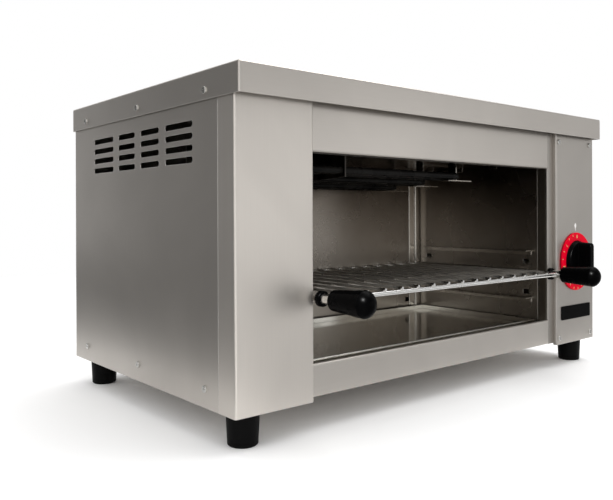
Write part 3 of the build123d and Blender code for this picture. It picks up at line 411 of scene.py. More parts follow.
def brushed(name, stretch, tone=1.0, satin=0.36, shade_behind=None):
    """Brushed steel, its grain along the axis that is squeezed least; a tone above 1 paints light and below 1
    paints shade, and painted shade darkens it behind a depth.
    """
    made, tree, shader = new_material(name, 1.0, satin)
    grain = use_group(tree, sheet_grain, stretch=stretch)["Grain"]
    smudge = use_group(tree, smudges, size=4.0, contrast=0.8)["Smudge"]
    worn = use_group(tree, edge_wear, width=1.1 * MM, patchiness=0.35)
    line = use_group(tree, hairlines, density=0.2)["Line"]
    # Painted reflection: large dark clouds that stand for the room's smoky reflections in the sheet.
    painted_reflection = use_group(tree, smudges, size=3.4, contrast=1.7)["Smudge"]
    lightness = weighted(tree, grain, smudge, 0.5)
    # The tone scales both steel colours: painted light above 1, painted shade below 1.
    steel = blend_colours(tree, lightness, dimmed(STEEL_DARK, tone), dimmed(STEEL_LIGHT, tone))
    reflection_weight = maths(tree, "MULTIPLY", painted_reflection, PAINTED_REFLECTION_SHARE)
    steel = blend_colours(tree, reflection_weight, steel, dimmed(STEEL_DARK, PAINTED_REFLECTION_TONE))
    # Painted shade: behind the given depth the sheet turns dark brown, for the shade in the stile's fold into
    # the cavity.
    if shade_behind:
        depth = along(tree, object_place(tree), "Y")
        steel = blend_colours(tree, stretch_range(tree, depth, shade_behind, shade_behind + RECESS_SHADE_FADE), steel, RECESS_SHADE)
    rubbed = maths(tree, "MULTIPLY", worn["Edge"], RUBBED_SHARE)
    rubbed = maths(tree, "MAXIMUM", rubbed, maths(tree, "MULTIPLY", line, SCRATCH_SHARE))
    feed(tree, shader["Base Color"], blend_colours(tree, rubbed, steel, STEEL_RUBBED))
    wiped = maths(tree, "MULTIPLY", maths(tree, "SUBTRACT", smudge, 0.5), SMUDGE_SPREAD)
    matt = maths(tree, "ADD", between(tree, grain, satin - SATIN_SPREAD, satin + SATIN_SPREAD), wiped)
    polished = maths(tree, "MULTIPLY", worn["Edge"], EDGE_POLISH)
    feed(tree, shader["Roughness"], maths(tree, "SUBTRACT", matt, polished))
    feed(tree, shader["Normal"], bump(tree, grain, strength=0.05, distance=0.12 * MM, below=worn["Normal"]))
    return made


brushed_across = brushed("brushed stainless, grain along x", ALONG_X)
brushed_deep = brushed("brushed stainless, grain along y", ALONG_Y)
brushed_up = brushed("brushed stainless, grain along z", ALONG_Z)
# Lit and shaded copies: the column is painted lighter, the panel and the stile painted darker, for how much
# light each reflects.
column_steel = brushed("column steel", ALONG_Z, tone=1.18, satin=0.42)
panel_steel = brushed("panel steel", ALONG_Z, tone=0.88)
stile_steel = brushed("stile steel", ALONG_Z, tone=0.66, shade_behind=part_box("right_stile")[0].y + 2 * MM)
print("six brushed finishes")

# %% [markdown]
# ## Inner stainless
# The cavity is the same steel after years of heat: darker, duller and brown towards the tubes, sooty
# above them, and with dried spots low down. It is made apart from the outer finish because heat, not
# touch, shapes it. The function takes a cool and a hot colour, because the walls, the ceiling, the tray,
# the cover strips and the runners have not coloured alike. The ceiling's two colours are partly heat
# browning and partly painted shade, nearly black for the shade that it lies in under the header.

# %% Tones of heated steel
INNER_COOL = shade(0.38, 0.35, 0.315)
INNER_HOT = shade(0.115, 0.093, 0.072)
INNER_SPOT = shade(0.06, 0.05, 0.04)
INNER_SOOT = shade(0.03, 0.026, 0.022)
# The ceiling's darkest colour is partly painted shade.
CEILING_HOT_AND_SHADED = shade(0.05, 0.042, 0.035)
TRAY_COOL = shade(0.68, 0.665, 0.62)
STRIP_COOL = shade(0.62, 0.59, 0.54)
RUNNER_COOL = shade(0.58, 0.55, 0.50)
STRAW = shade(0.45, 0.41, 0.36)
TONED_FROM = 120 * MM
TONED_TO = 270 * MM
SOOT_FROM = 250 * MM
SOOT_TO = 285 * MM
print("steel turns brown up to", TONED_TO, "m and sooty above", SOOT_FROM, "m")

# %% Inner stainless
SPOT_SCALE = 75.0
SPOT_FADE = (0.62, 0.72)
SPOT_SHARE = 0.12
SPOT_MATT = 0.05
LIFT_SHARE = 0.02


def toned(name, stretch, cool, hot, satin, rub=0.6):
    """Heat-toned satin steel of the cavity: cool low down, hot near the tubes, sooty above them."""
    made, tree, shader = new_material(name, 1.0, satin)
    grain = use_group(tree, sheet_grain, stretch=stretch)["Grain"]
    smudge = use_group(tree, smudges, size=11.0, contrast=1.1)["Smudge"]
    heat = use_group(tree, heat_tone, cool_height=TONED_FROM, hot_height=TONED_TO)["Heat"]
    soot = use_group(tree, heat_tone, cool_height=SOOT_FROM, hot_height=SOOT_TO)["Heat"]
    worn = use_group(tree, edge_wear, width=1.0 * MM, patchiness=0.5)
    spots = stretch_range(tree, noise(tree, object_place(tree), SPOT_SCALE, detail=3.0), *SPOT_FADE)
    spots = maths(tree, "MULTIPLY", spots, maths(tree, "POWER", maths(tree, "SUBTRACT", 1.0, heat), 3.0))
    steel = blend_colours(tree, soot, blend_colours(tree, heat, cool, hot), INNER_SOOT)
    steel = blend_colours(tree, maths(tree, "MULTIPLY", spots, SPOT_SHARE), steel, INNER_SPOT)
    lifted = maths(tree, "MULTIPLY", maths(tree, "MULTIPLY", smudge, grain), LIFT_SHARE)
    steel = blend_colours(tree, lifted, steel, STEEL_DARK)
    rubbed = maths(tree, "MULTIPLY", worn["Edge"], rub)
    feed(tree, shader["Base Color"], blend_colours(tree, rubbed, steel, STEEL_LIGHT))
    matt = between(tree, smudge, satin - SATIN_SPREAD, satin + SATIN_SPREAD)
    feed(tree, shader["Roughness"], maths(tree, "ADD", matt, maths(tree, "MULTIPLY", spots, SPOT_MATT)))
    feed(tree, shader["Normal"], bump(tree, grain, strength=0.08, distance=0.1 * MM, below=worn["Normal"]))
    return made


toned_across = toned("toned stainless, grain along x", ALONG_X, INNER_COOL, INNER_HOT, 0.28)
toned_deep = toned("toned stainless, grain along y", ALONG_Y, INNER_COOL, INNER_HOT, 0.28)
# Partly painted shade: the ceiling's steel is nearly black, for heat browning and for the shade under the
# header.
ceiling_steel = toned("ceiling steel", ALONG_X, INNER_HOT, CEILING_HOT_AND_SHADED, 0.24)
tray_steel = toned("tray steel", ALONG_X, TRAY_COOL, INNER_COOL, 0.12)
strip_steel = toned("strip steel", ALONG_Z, STRIP_COOL, STRAW, 0.16, rub=0.1)
runner_steel = toned("runner steel", ALONG_Y, RUNNER_COOL, STRAW, 0.20)
print("six toned finishes")

# %% [markdown]
# ## Heater sheath and scorched plate
# The heating tubes are black with a dry oxide skin, which hardly shines. The plate that their legs pass
# through is steel scorched nearly black, with only its edges still a little bright.

# %% Heater sheath, scorched steel
OXIDE_DARK = shade(0.002, 0.002, 0.002)
OXIDE_LIGHT = shade(0.011, 0.010, 0.009)
SCORCH_DARK = shade(0.035, 0.031, 0.028)
SCORCH_LIGHT = shade(0.12, 0.11, 0.10)
SCORCH_RUB = 0.12

heater_sheath, tree, shader = new_material("heater sheath", 0.0, 0.3, Specular_IOR_Level=0.06)
skin = use_group(tree, moulded_skin, fineness=900.0)["Skin"]
smudge = use_group(tree, smudges, size=38.0, contrast=1.3)["Smudge"]
feed(tree, shader["Base Color"], blend_colours(tree, smudge, OXIDE_DARK, OXIDE_LIGHT))
feed(tree, shader["Roughness"], between(tree, smudge, 0.18, 0.34))
feed(tree, shader["Normal"], bump(tree, skin, strength=0.2, distance=0.1 * MM))

scorched_steel, tree, shader = new_material("scorched steel", 1.0, 0.4)
smudge = use_group(tree, smudges, size=70.0, contrast=1.4)["Smudge"]
worn = use_group(tree, edge_wear, width=0.5 * MM, patchiness=0.6)
scorched = blend_colours(tree, smudge, SCORCH_DARK, SCORCH_LIGHT)
rubbed = maths(tree, "MULTIPLY", worn["Edge"], SCORCH_RUB)
feed(tree, shader["Base Color"], blend_colours(tree, rubbed, scorched, STEEL_DARK))
feed(tree, shader["Roughness"], between(tree, smudge, 0.32, 0.5))
feed(tree, shader["Normal"], bump(tree, smudge, strength=0.15, distance=0.3 * MM, below=worn["Normal"]))
print("sheath and scorched steel")

# %% [markdown]
# ## Chromed wire
# The rack is chrome: nearly a mirror, dulled where fat has burnt on. That is the part that food lies on,
# so the front bar and the rack's rear edge stay bright, and the burnt tone fades in between them.

# %% Chromed wire
CHROME_CLEAN = shade(0.86, 0.855, 0.84)
CHROME_DULL = shade(0.72, 0.70, 0.66)
CHROME_BURNT = shade(0.50, 0.47, 0.43)
BURNT_MARGIN = 12 * MM
BURNT_FADE = 8 * MM
BURNT_MATT = 0.35

chromed_wire, tree, shader = new_material("chromed wire", 1.0, 0.13)
smudge = use_group(tree, smudges, size=60.0, contrast=1.2)["Smudge"]
depth = along(tree, object_place(tree), "Y")
burnt_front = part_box("rack_front_bar")[1].y
burnt_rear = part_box("rack_frame")[1].y - BURNT_MARGIN
burnt = maths(tree, "MULTIPLY", stretch_range(tree, depth, burnt_front, burnt_front + BURNT_FADE),
              stretch_range(tree, depth, burnt_rear, burnt_rear - BURNT_FADE))
chrome = blend_colours(tree, maths(tree, "MULTIPLY", smudge, 0.5), CHROME_CLEAN, CHROME_DULL)
feed(tree, shader["Base Color"], blend_colours(tree, burnt, chrome, CHROME_BURNT))
matt = maths(tree, "ADD", between(tree, smudge, 0.14, 0.30), maths(tree, "MULTIPLY", burnt, BURNT_MATT))
feed(tree, shader["Roughness"], matt)
feed(tree, shader["Normal"], bump(tree, smudge, strength=0.1, distance=0.2 * MM))
print("chrome, burnt from", round(burnt_front, 4), "to", round(burnt_rear, 4))

# %% [markdown]
# ## Plated steel
# Screws, pins, brackets and the rods of the handles are zinc plated, which is bright but grainy.

# %% Plated steel
ZINC_DULL = shade(0.54, 0.53, 0.50)
ZINC_BRIGHT = shade(0.68, 0.67, 0.65)
ZINC_RUBBED = shade(0.83, 0.82, 0.8)
ZINC_RUB = 0.6

plated_steel, tree, shader = new_material("plated steel", 1.0, 0.25)
grit = use_group(tree, moulded_skin, fineness=2500.0)["Skin"]
smudge = use_group(tree, smudges, size=120.0, contrast=1.0)["Smudge"]
edge = use_group(tree, edge_wear, width=0.4 * MM, patchiness=0.3)["Edge"]
zinc = blend_colours(tree, smudge, ZINC_DULL, ZINC_BRIGHT)
rubbed = maths(tree, "MULTIPLY", edge, ZINC_RUB)
feed(tree, shader["Base Color"], blend_colours(tree, rubbed, zinc, ZINC_RUBBED))
feed(tree, shader["Roughness"], between(tree, grit, 0.16, 0.34))
feed(tree, shader["Normal"], bump(tree, grit, strength=0.12, distance=0.1 * MM))
print("plating")

# %% [markdown]
# ## Moulded plastics
# The grips, the knob and the feet are black mouldings, the dial is a red one, and the badge plate is
# black and left bare. They differ in colour, in how matt and how dusty they are, so one function makes
# all four.

# %% Plastics
GRIP_BLACK = shade(0.0012, 0.0012, 0.0014)
FOOT_BLACK = shade(0.004, 0.004, 0.004)
BADGE_BLACK = shade(0.001, 0.001, 0.001)
DIAL_RED = shade(0.74, 0.001, 0.020)
RUBBED_BLACK = shade(0.03, 0.03, 0.032)
RUBBED_RED = shade(0.76, 0.03, 0.06)
PALE_DUST = shade(0.35, 0.33, 0.30)
PLASTIC_RUB = 0.5


def moulded(name, colour, worn, matt, dusty, gloss=0.02):
    """Moulded plastic with a fine skin, rubbed edges and some dust on what faces up."""
    made, tree, shader = new_material(name, 0.0, matt[0], Specular_IOR_Level=gloss)
    skin = use_group(tree, moulded_skin, fineness=1400.0)["Skin"]
    smudge = use_group(tree, smudges, size=55.0, contrast=1.0)["Smudge"]
    edge = use_group(tree, edge_wear, width=0.8 * MM, patchiness=0.5)["Edge"]
    settled = use_group(tree, dust, amount=dusty)["Dust"]
    body = blend_colours(tree, maths(tree, "MULTIPLY", edge, PLASTIC_RUB), colour, worn)
    feed(tree, shader["Base Color"], blend_colours(tree, settled, body, PALE_DUST))
    feed(tree, shader["Roughness"], between(tree, smudge, *matt))
    feed(tree, shader["Normal"], bump(tree, skin, strength=0.06, distance=0.1 * MM))
    return made


black_plastic = moulded("black plastic", GRIP_BLACK, RUBBED_BLACK, (0.22, 0.32), dusty=0.005)
foot_plastic = moulded("foot plastic", FOOT_BLACK, RUBBED_BLACK, (0.36, 0.5), dusty=0.03, gloss=0.05)
badge_black = moulded("badge black", BADGE_BLACK, RUBBED_BLACK, (0.30, 0.42), dusty=0.0)
red_dial = moulded("red dial", DIAL_RED, RUBBED_RED, (0.26, 0.38), dusty=0.0)
print("four mouldings")

# %% [markdown]
# ## Print, ceramic and sleeving
# Screen-printed ink lies thin, so its colour and its sheen vary a little. The beads round the tubes'
# pins are speckled ceramic. The inner leads wear a woven glass sleeve, and a fine checker with some
# fuzz suggests its weave well at this size.

# %% Print
THIN_INK = 0.8


def printed(name, colour):
    """Screen-printed ink, a little thin in places."""
    made, tree, shader = new_material(name, 0.0, 0.5)
    thin = use_group(tree, smudges, size=900.0, contrast=1.0)["Smudge"]
    feed(tree, shader["Base Color"], blend_colours(tree, thin, dimmed(colour, THIN_INK), colour))
    feed(tree, shader["Roughness"], between(tree, thin, 0.42, 0.6))
    feed(tree, shader["Normal"], bump(tree, thin, strength=0.1, distance=0.05 * MM))
    return made


white_print = printed("white print", shade(0.86, 0.85, 0.82))
yellow_print = printed("yellow print", shade(0.88, 0.74, 0.30))
print("two inks")

# %% Ceramic, sleeving
GLAZE_DARK = shade(0.74, 0.71, 0.65)
GLAZE_LIGHT = shade(0.88, 0.86, 0.81)
SLEEVE_DARK = shade(0.62, 0.58, 0.51)
SLEEVE_LIGHT = shade(0.80, 0.77, 0.71)
BRAID_SCALE = 1300.0
FUZZ_SCALE = 400.0
BRAID_WEIGHT = 0.4

ceramic_bead, tree, shader = new_material("ceramic bead", 0.0, 0.6)
speckle = use_group(tree, moulded_skin, fineness=2200.0)["Skin"]
feed(tree, shader["Base Color"], blend_colours(tree, speckle, GLAZE_DARK, GLAZE_LIGHT))
feed(tree, shader["Roughness"], between(tree, speckle, 0.5, 0.75))
feed(tree, shader["Normal"], bump(tree, speckle, strength=0.2, distance=0.1 * MM))

lead_sleeve, tree, shader = new_material("lead sleeve", 0.0, 0.7)
braid = add_node(tree, "ShaderNodeTexChecker")
feed(tree, braid.inputs["Vector"], object_place(tree))
braid.inputs["Scale"].default_value = BRAID_SCALE
fuzz = noise(tree, object_place(tree), FUZZ_SCALE, detail=3.0)
weave = weighted(tree, braid.outputs["Fac"], fuzz, BRAID_WEIGHT)
feed(tree, shader["Base Color"], blend_colours(tree, weave, SLEEVE_DARK, SLEEVE_LIGHT))
feed(tree, shader["Roughness"], between(tree, fuzz, 0.6, 0.85))
feed(tree, shader["Normal"], bump(tree, weave, strength=0.4, distance=0.2 * MM))
print("ceramic and sleeving")

# %% [markdown]
# ## Dressing the model's own pieces
# Each piece keeps its mesh and gets its finish in its own material slot. A table from finish to names
# is shorter than a cell for each piece, and the last line tells if one was forgotten.

# %% Finishes by piece
FINISHES = {
    brushed_across: ["top_lid", "header_panel", "bottom_rail"],
    brushed_deep: ["base_pan"],
    brushed_up: ["left_side_panel", "right_side_panel", "back_panel"],
    column_steel: ["left_front_column"],
    panel_steel: ["control_panel"],
    stile_steel: ["right_stile"],
    toned_across: ["liner_back_wall"],
    ceiling_steel: ["ceiling_reflector"],
    tray_steel: ["cavity_floor", "crumb_tray"],
    strip_steel: ["corner_strip_left", "corner_strip_right"],
    runner_steel: ["rack_runners_left", "rack_runners_right", "element_straps"],
    toned_deep: ["liner_left_wall", "liner_right_wall"],
    heater_sheath: ["heating_element_front", "heating_element_middle", "heating_element_rear"],
    chromed_wire: ["rack_frame", "rack_front_bar", "rack_cross_wires"],
    scorched_steel: ["element_comb"],
    plated_steel: ["element_bushes", "element_pins", "bus_bars", "panel_brackets", "knob_spindle",
                   "regulator_nut", "foot_bolts", "side_screws", "lid_screws", "panel_screws", "back_screws",
                   "handle_rod_left", "handle_rod_right"],
    black_plastic: ["handle_collar_left", "handle_collar_right", "handle_grip_left", "handle_grip_right",
                    "knob", "regulator_body", "cable_gland", "gland_locknut", "terminal_block", "lead_clips"],
    foot_plastic: ["foot_front_left", "foot_back_left", "foot_front_right", "foot_back_right"],
    red_dial: ["dial_ring"],
    badge_black: ["badge_plate"],
    ceramic_bead: ["element_insulators"],
    lead_sleeve: ["supply_leads", "heater_leads"],
}

for finish, names in FINISHES.items():
    for name in names:
        nodes[name].data.materials.clear()
        nodes[name].data.materials.append(finish)
undressed = sorted(set(nodes) - {name for names in FINISHES.values() for name in names})
print("without a finish:", undressed)

# %% [markdown]
# ## Pieces built here
# What follows is built in mesh code, on the model's own measures. A helper turns a finished bmesh into
# an object, gives it its finish and lets it ride on its part of the machine. Another finds the middle
# of one of the model's pieces, so that what is added sits where it should.

# %% Piece helpers
def new_piece(name, mesh, finish, body, smooth=True):
    """Makes a piece of the machine from a bmesh."""
    data = bpy.data.meshes.new(name)
    mesh.to_mesh(data)
    mesh.free()
    data.materials.append(finish)
    for face in data.polygons:
        face.use_smooth = smooth
    piece = bpy.data.objects.new(name, data)
    bpy.context.scene.collection.objects.link(piece)
    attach(piece, body)


def centre_of(name):
    """The middle of the box round a node."""
    low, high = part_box(name)
    return (low + high) / 2


print("piece helpers ready")

# %% [markdown]
# ## The dial's print
# A printed scale sits on the red ring. The knob and the ring turn clockwise together under a fixed
# mark on the panel, so the numbers run the other way round, from 0 at the top. They are real text,
# set flat, turned upright and made into a mesh, and short ticks stand between them.

# %% Dial sizes and helpers
DIAL_STEP = math.radians(50)
DIAL_NUMBERS = range(7)
NUMBER_SIZE = 6.2 * MM
NUMBER_RING = 33.0 * MM
TICK_LOW = 34.5 * MM
TICK_HIGH = 37.2 * MM
TICK_WIDTH = 0.7 * MM
TICKS_BETWEEN = 2
INK = 0.12 * MM

dial_middle = centre_of("dial_ring")
dial_face = Vector((dial_middle.x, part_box("dial_ring")[0].y, dial_middle.z))
upright = Matrix.Rotation(math.radians(90), 4, "X")


def on_dial(setting):
    """A place on the dial's face, turned from the top by a setting."""
    return Matrix.Translation(dial_face) @ Matrix.Rotation(-setting * DIAL_STEP, 4, "Y")


def text_mesh(words, size):
    """The mesh of some words, flat in X and Y, centred on the origin."""
    curve = bpy.data.curves.new("words", "FONT")
    curve.body = words
    curve.size = size
    curve.align_x = "CENTER"
    curve.align_y = "CENTER"
    curve.extrude = INK
    curve.resolution_u = 3
    holder = bpy.data.objects.new("words", curve)
    bpy.context.scene.collection.objects.link(holder)
    made = bpy.data.meshes.new_from_object(holder)
    bpy.data.objects.remove(holder)
    return made


print("dial step", round(math.degrees(DIAL_STEP)), "degrees")

# %% Dial scale
scale = bmesh.new()
for number in DIAL_NUMBERS:
    digits = text_mesh(str(number), NUMBER_SIZE)
    digits.transform(on_dial(number) @ Matrix.Translation((0, 0, NUMBER_RING)) @ upright)
    scale.from_mesh(digits)

tick_size = Matrix.Diagonal((TICK_WIDTH, INK * 2, TICK_HIGH - TICK_LOW, 1))
tick_lift = Matrix.Translation((0, 0, (TICK_LOW + TICK_HIGH) / 2))
for number in DIAL_NUMBERS[:-1]:
    for tick in range(1, TICKS_BETWEEN + 1):
        setting = number + tick / (TICKS_BETWEEN + 1)
        bmesh.ops.create_cube(scale, size=1, matrix=on_dial(setting) @ tick_lift @ tick_size)
new_piece("dial_scale", scale, yellow_print, "dial_knob", smooth=False)
print("dial scale with", len(DIAL_NUMBERS), "numbers")

# %% [markdown]
# ## The mark on the panel
# The fixed mark above the dial is a slim printed spearhead on a thin stem, which shows the setting.
# MARK_SHAPE gives its half width in millimetres at a few shares of its height. These points are its
# right side, the same ones mirrored are its left, and the outline is filled and given the thickness of
# ink.

# %% Pointer mark
MARK_FOOT = 41.1 * MM
MARK_HEIGHT = 10.2 * MM
MARK_SHAPE = ((0.0, 0.5), (0.36, 0.9), (0.46, 1.7), (0.60, 2.4), (0.74, 2.3), (0.88, 1.5), (1.0, 0.3))

panel_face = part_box("control_panel")[0].y
mark = bmesh.new()
left_side = [(share, -half_width) for share, half_width in reversed(MARK_SHAPE)]
outline = []
for share, half_width in [*MARK_SHAPE, *left_side]:
    height = dial_middle.z + MARK_FOOT + share * MARK_HEIGHT
    outline.append(Vector((dial_middle.x + half_width * MM, panel_face - INK, height)))
face = mark.faces.new([mark.verts.new(point) for point in outline])
grown = bmesh.ops.extrude_face_region(mark, geom=[face])
back_points = [item for item in grown["geom"] if isinstance(item, bmesh.types.BMVert)]
bmesh.ops.translate(mark, verts=back_points, vec=(0, INK, 0))
bmesh.ops.recalc_face_normals(mark, faces=mark.faces)
new_piece("pointer_mark", mark, white_print, "cabinet", smooth=False)
print("pointer mark above the dial")

# %% [markdown]
# ## Weld beads on the rack
# The cross wires are resistance welded to every bar that they cross. A weld squeezes the steel into a
# small bead either side of the wire, and chrome makes those beads sparkle. Small spheres, squashed and
# turned a little by chance, sit in each corner. The chance is seeded, so each run gives the same beads.

# %% Rack welds
WIRE_COUNT = 15
TIE_COUNT = 2
BEAD = 1.5 * MM
BEAD_OUT = 0.75
BEAD_UP = 0.2

chance = random.Random(7)
wires_low, wires_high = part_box("rack_cross_wires")
bar_low, bar_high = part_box("rack_front_bar")
bar_radius = (bar_high.z - bar_low.z) / 2
wire_radius = (wires_high.z - wires_low.z) / 2
front_bar_y = centre_of("rack_front_bar").y
rear_bar_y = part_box("rack_frame")[1].y - bar_radius
bar_ys = [front_bar_y + (rear_bar_y - front_bar_y) * n / (TIE_COUNT + 1) for n in range(TIE_COUNT + 2)]
first_wire = wires_low.x + wire_radius
wire_pitch = (wires_high.x - wires_low.x - 2 * wire_radius) / (WIRE_COUNT - 1)

beads = bmesh.new()
for wire in range(WIRE_COUNT):
    for bar_y in bar_ys:
        for side in (-1, 1):
            spot = Vector((first_wire + wire * wire_pitch + side * wire_radius * BEAD_OUT, bar_y,
                           wires_low.z + BEAD_UP * BEAD))
            size = Matrix.Diagonal((BEAD * chance.uniform(0.5, 0.75), BEAD * chance.uniform(0.8, 1.15),
                                    BEAD * chance.uniform(0.5, 0.7), 1))
            lean = Matrix.Rotation(chance.uniform(-0.4, 0.4), 4, "Y")
            bmesh.ops.create_icosphere(beads, subdivisions=2, radius=1,
                                       matrix=Matrix.Translation(spot) @ lean @ size)
new_piece("rack_welds", beads, chromed_wire, "rack")
print(WIRE_COUNT * len(bar_ys) * 2, "weld beads")

# %% [markdown]
# ## The crumb tray's hem
# A thin tray's rim is rolled over so that it doesn't cut. The roll is a closed curve with round
# corners and a round section, which follows the rim.

# %% Tray hem
HEM_RADIUS = 0.9 * MM
HEM_CORNER = 3.0 * MM
HEM_STEPS = 6

tray_low, tray_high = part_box("crumb_tray")
hem_points = []
corners = [(tray_high.x, tray_high.y, 0), (tray_low.x, tray_high.y, 90), (tray_low.x, tray_low.y, 180),
           (tray_high.x, tray_low.y, 270)]
for corner_x, corner_y, start in corners:
    inward_x = -HEM_CORNER if corner_x == tray_high.x else HEM_CORNER
    inward_y = -HEM_CORNER if corner_y == tray_high.y else HEM_CORNER
    for step in range(HEM_STEPS + 1):
        angle = math.radians(start + 90 * step / HEM_STEPS)
        hem_points.append((corner_x + inward_x + HEM_CORNER * math.cos(angle),
                           corner_y + inward_y + HEM_CORNER * math.sin(angle), tray_high.z - HEM_RADIUS))
hem_curve = bpy.data.curves.new("tray_hem", "CURVE")
hem_curve.dimensions = "3D"
hem_curve.bevel_depth = HEM_RADIUS
hem_curve.bevel_resolution = 3
hem_line = hem_curve.splines.new("POLY")
hem_line.points.add(len(hem_points) - 1)
for target, point in zip(hem_line.points, hem_points):
    target.co = (*point, 1)
hem_line.use_cyclic_u = True
hem_curve.materials.append(tray_steel)
tray_hem = bpy.data.objects.new("tray_hem", hem_curve)
bpy.context.scene.collection.objects.link(tray_hem)
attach(tray_hem, "tray")
print("hem round the tray,", len(hem_points), "points")

# %% [markdown]
# ## Grip ribs on the gland's cap
# The cap of a cable gland is turned by hand, so it has ribs. Each rib is a round bar half sunk in the
# cap, thinner at its outer end, and a loop places them round the cap.

# %% Gland ribs
RIB_COUNT = 14
RIB_RADIUS = 1.1 * MM
RIB_TAPER = 0.6
RIB_SIDES = 10
CAP_RADIUS = 10.0 * MM
CAP_LENGTH = 9.0 * MM
CAP_ROUND = 3.0 * MM

gland_middle = centre_of("cable_gland")
rib_length = CAP_LENGTH - CAP_ROUND
rib_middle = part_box("cable_gland")[1].y - CAP_LENGTH + rib_length / 2
pointing_back = Matrix.Rotation(math.radians(-90), 4, "X")

ribs = bmesh.new()
for number in range(RIB_COUNT):
    angle = 2 * math.pi * number / RIB_COUNT
    spot = Vector((gland_middle.x + CAP_RADIUS * math.cos(angle), rib_middle,
                   gland_middle.z + CAP_RADIUS * math.sin(angle)))
    bmesh.ops.create_cone(ribs, segments=RIB_SIDES, cap_ends=True, radius1=RIB_RADIUS,
                          radius2=RIB_RADIUS * RIB_TAPER, depth=rib_length,
                          matrix=Matrix.Translation(spot) @ pointing_back)
new_piece("gland_ribs", ribs, black_plastic, "cabinet")
print(RIB_COUNT, "ribs on the gland")

# %% [markdown]
# ## Floor and background
# The floor is pale and takes a soft shadow. Far away it has to melt into the white background, so its
# shader turns from a lit surface near the machine into plain white with distance. Distance is measured
# on the floor itself, so it is right from every side. Only what looks at the floor, a camera or a
# reflection, gets that plain white, so it throws no extra light on the machine. The camera also sees
# the near floor a little brighter than the light it throws back.

# %% Floor
FLOOR_SIZE = 40.0

floor_mesh = bmesh.new()
bmesh.ops.create_grid(floor_mesh, x_segments=8, y_segments=8, size=FLOOR_SIZE / 2)
floor_data = bpy.data.meshes.new("floor")
floor_mesh.to_mesh(floor_data)
floor_mesh.free()
floor = bpy.data.objects.new("floor", floor_data)
bpy.context.scene.collection.objects.link(floor)
print("floor", FLOOR_SIZE, "m wide")

# %% Floor paint
FLOOR_NEAR = 0.45
FLOOR_FAR = 1.7
FLOOR_LIT = shade(0.90, 0.90, 0.90)
FLOOR_SHOWN = shade(1.06, 1.06, 1.06)

floor_paint = bpy.data.materials.new("floor paint")
floor_paint.use_nodes = True
tree = floor_paint.node_tree
tree.nodes.clear()
distance = add_node(tree, "ShaderNodeVectorMath", operation="LENGTH")
feed(tree, distance.inputs[0], object_place(tree))
far = stretch_range(tree, distance.outputs["Value"], FLOOR_NEAR, FLOOR_FAR)
rays = add_node(tree, "ShaderNodeLightPath").outputs
reflected = maths(tree, "MAXIMUM", rays["Is Glossy Ray"], rays["Is Transmission Ray"])
looked_at = maths(tree, "MAXIMUM", rays["Is Camera Ray"], reflected)
matt_floor = add_node(tree, "ShaderNodeBsdfDiffuse")
feed(tree, matt_floor.inputs["Color"], blend_colours(tree, rays["Is Camera Ray"], FLOOR_LIT, FLOOR_SHOWN))
plain_white = add_node(tree, "ShaderNodeEmission")
blended = add_node(tree, "ShaderNodeMixShader")
feed(tree, blended.inputs[0], maths(tree, "MULTIPLY", far, looked_at))
tree.links.new(matt_floor.outputs[0], blended.inputs[1])
tree.links.new(plain_white.outputs[0], blended.inputs[2])
tree.links.new(blended.outputs[0], add_node(tree, "ShaderNodeOutputMaterial").inputs["Surface"])
floor_data.materials.append(floor_paint)
print("floor turns white from", FLOOR_NEAR, "to", FLOOR_FAR, "m")

# %% [markdown]
# ## Surround
# The studio is plain: a white surround at a strength of 1, which is white in the picture. It is also
# the softest light there is, because it comes from all sides.

# %% World
SURROUND = 1.0

world = bpy.data.worlds.new("studio")
bpy.context.scene.world = world
world.use_nodes = True
tree = world.node_tree
tree.nodes.clear()
surround = add_node(tree, "ShaderNodeBackground")
surround.inputs["Color"].default_value = shade(1.0, 1.0, 1.0)
surround.inputs["Strength"].default_value = SURROUND
tree.links.new(surround.outputs[0], add_node(tree, "ShaderNodeOutputWorld").inputs["Surface"])
print("surround", SURROUND)

# %% [markdown]
# ## Lamps
# A large soft lamp at the upper right gives the shapes their shade, and a second one above the back
# lights the lid. A third, small lamp is linked to the black plastic alone, to put a highlight on the
# grips and the knob.

# %% Lamps
MACHINE = (0.0, 0.0, 0.16)


def aim(thing, target):
    """Turns a lamp or a card so that its -Z side faces the target."""
    thing.rotation_euler = (Vector(target) - thing.location).to_track_quat("-Z", "Y").to_euler()


def soft_lamp(name, place, target, width, height, power):
    """A large rectangular lamp."""
    data = bpy.data.lights.new(name, "AREA")
    data.shape = "RECTANGLE"
    data.size = width
    data.size_y = height
    data.energy = power
    lamp = bpy.data.objects.new(name, data)
    lamp.location = place
    aim(lamp, target)
    bpy.context.scene.collection.objects.link(lamp)
    return lamp


soft_lamp("lamp_key", (1.1, -0.5, 2.5), MACHINE, width=2.0, height=1.6, power=28)
soft_lamp("lamp_top", (0.2, 0.9, 2.6), MACHINE, width=2.2, height=1.8, power=14)
spark = soft_lamp("lamp_spark", (-1.1, -1.8, 1.7), MACHINE, width=0.5, height=0.5, power=260)
spark.visible_diffuse = False
highlighted = bpy.data.collections.new("highlighted pieces")
for name in FINISHES[black_plastic]:
    highlighted.objects.link(nodes[name])
spark.light_linking.receiver_collection = highlighted

# %% [markdown]
# ## Grey cards
# Bright metal in a white room would look flat, so photographers stand grey cards beside it for the
# steel to reflect. The cards here are seen only in reflections: they cast no shadow and never hide the
# machine from a camera that walks round it. Two of them lie just above the floor.

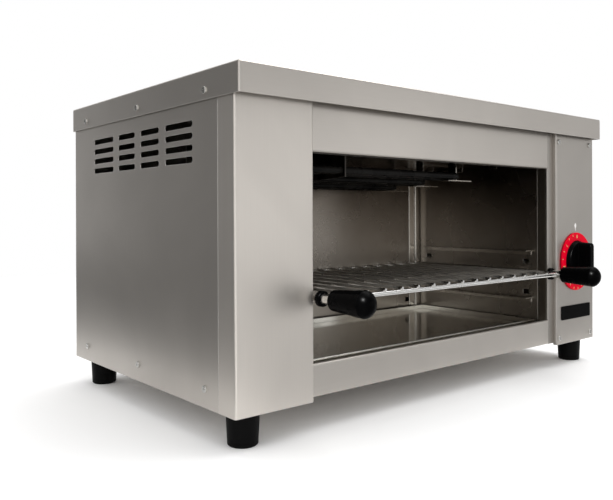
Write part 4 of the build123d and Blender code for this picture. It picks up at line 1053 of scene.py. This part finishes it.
# %% Cards
DARK_GREY = 0.15
MIDDLE_GREY = 0.35
LIGHT_GREY = 0.45
PALE_GREY = 0.50
ABOVE_FLOOR = 3 * MM


def grey_card(name, place, target, width, height, level):
    """A card that only reflections see, with an even brightness."""
    mesh = bmesh.new()
    bmesh.ops.create_grid(mesh, x_segments=2, y_segments=2, size=0.5)
    bmesh.ops.scale(mesh, vec=(width, height, 1), verts=mesh.verts)
    data = bpy.data.meshes.new(name)
    mesh.to_mesh(data)
    mesh.free()
    paint = bpy.data.materials.new(name + " paint")
    paint.use_nodes = True
    paint.node_tree.nodes.clear()
    light = add_node(paint.node_tree, "ShaderNodeEmission")
    light.inputs["Strength"].default_value = level
    end = add_node(paint.node_tree, "ShaderNodeOutputMaterial")
    paint.node_tree.links.new(light.outputs[0], end.inputs["Surface"])
    data.materials.append(paint)
    card = bpy.data.objects.new(name, data)
    card.location = place
    aim(card, target)
    card.visible_camera = False
    card.visible_diffuse = False
    card.visible_shadow = False
    card.visible_transmission = False
    bpy.context.scene.collection.objects.link(card)


grey_card("card_left", (-1.48, 1.28, 1.05), (-0.3, 0.03, 0.3), 2.0, 2.3, DARK_GREY)
grey_card("card_left_floor", (-1.42, 1.05, ABOVE_FLOOR), (-1.42, 1.05, -1.0), 2.0, 2.7, DARK_GREY)
grey_card("card_right", (2.3, -0.75, 0.9), (0.25, -0.14, 0.2), 1.5, 2.4, PALE_GREY)
grey_card("card_right_floor", (1.10, -0.84, ABOVE_FLOOR), (1.10, -0.84, -1.0), 2.6, 1.25, PALE_GREY)
grey_card("card_high", (1.3, -2.3, 1.45), (-0.1, -0.14, 0.25), 2.8, 1.3, MIDDLE_GREY)
grey_card("card_side", (2.5, 1.15, 0.9), (0.3, 0.1, 0.2), 1.9, 2.2, LIGHT_GREY)
grey_card("card_front", (-0.55, -3.2, 1.1), (-0.1, -0.14, 0.2), 1.6, 2.2, PALE_GREY)
print("seven cards")

# %% [markdown]
# ## Finish
# The last line sets the picture's view transform to Standard.

# %% Finish
bpy.context.scene.view_settings.view_transform = "Standard"
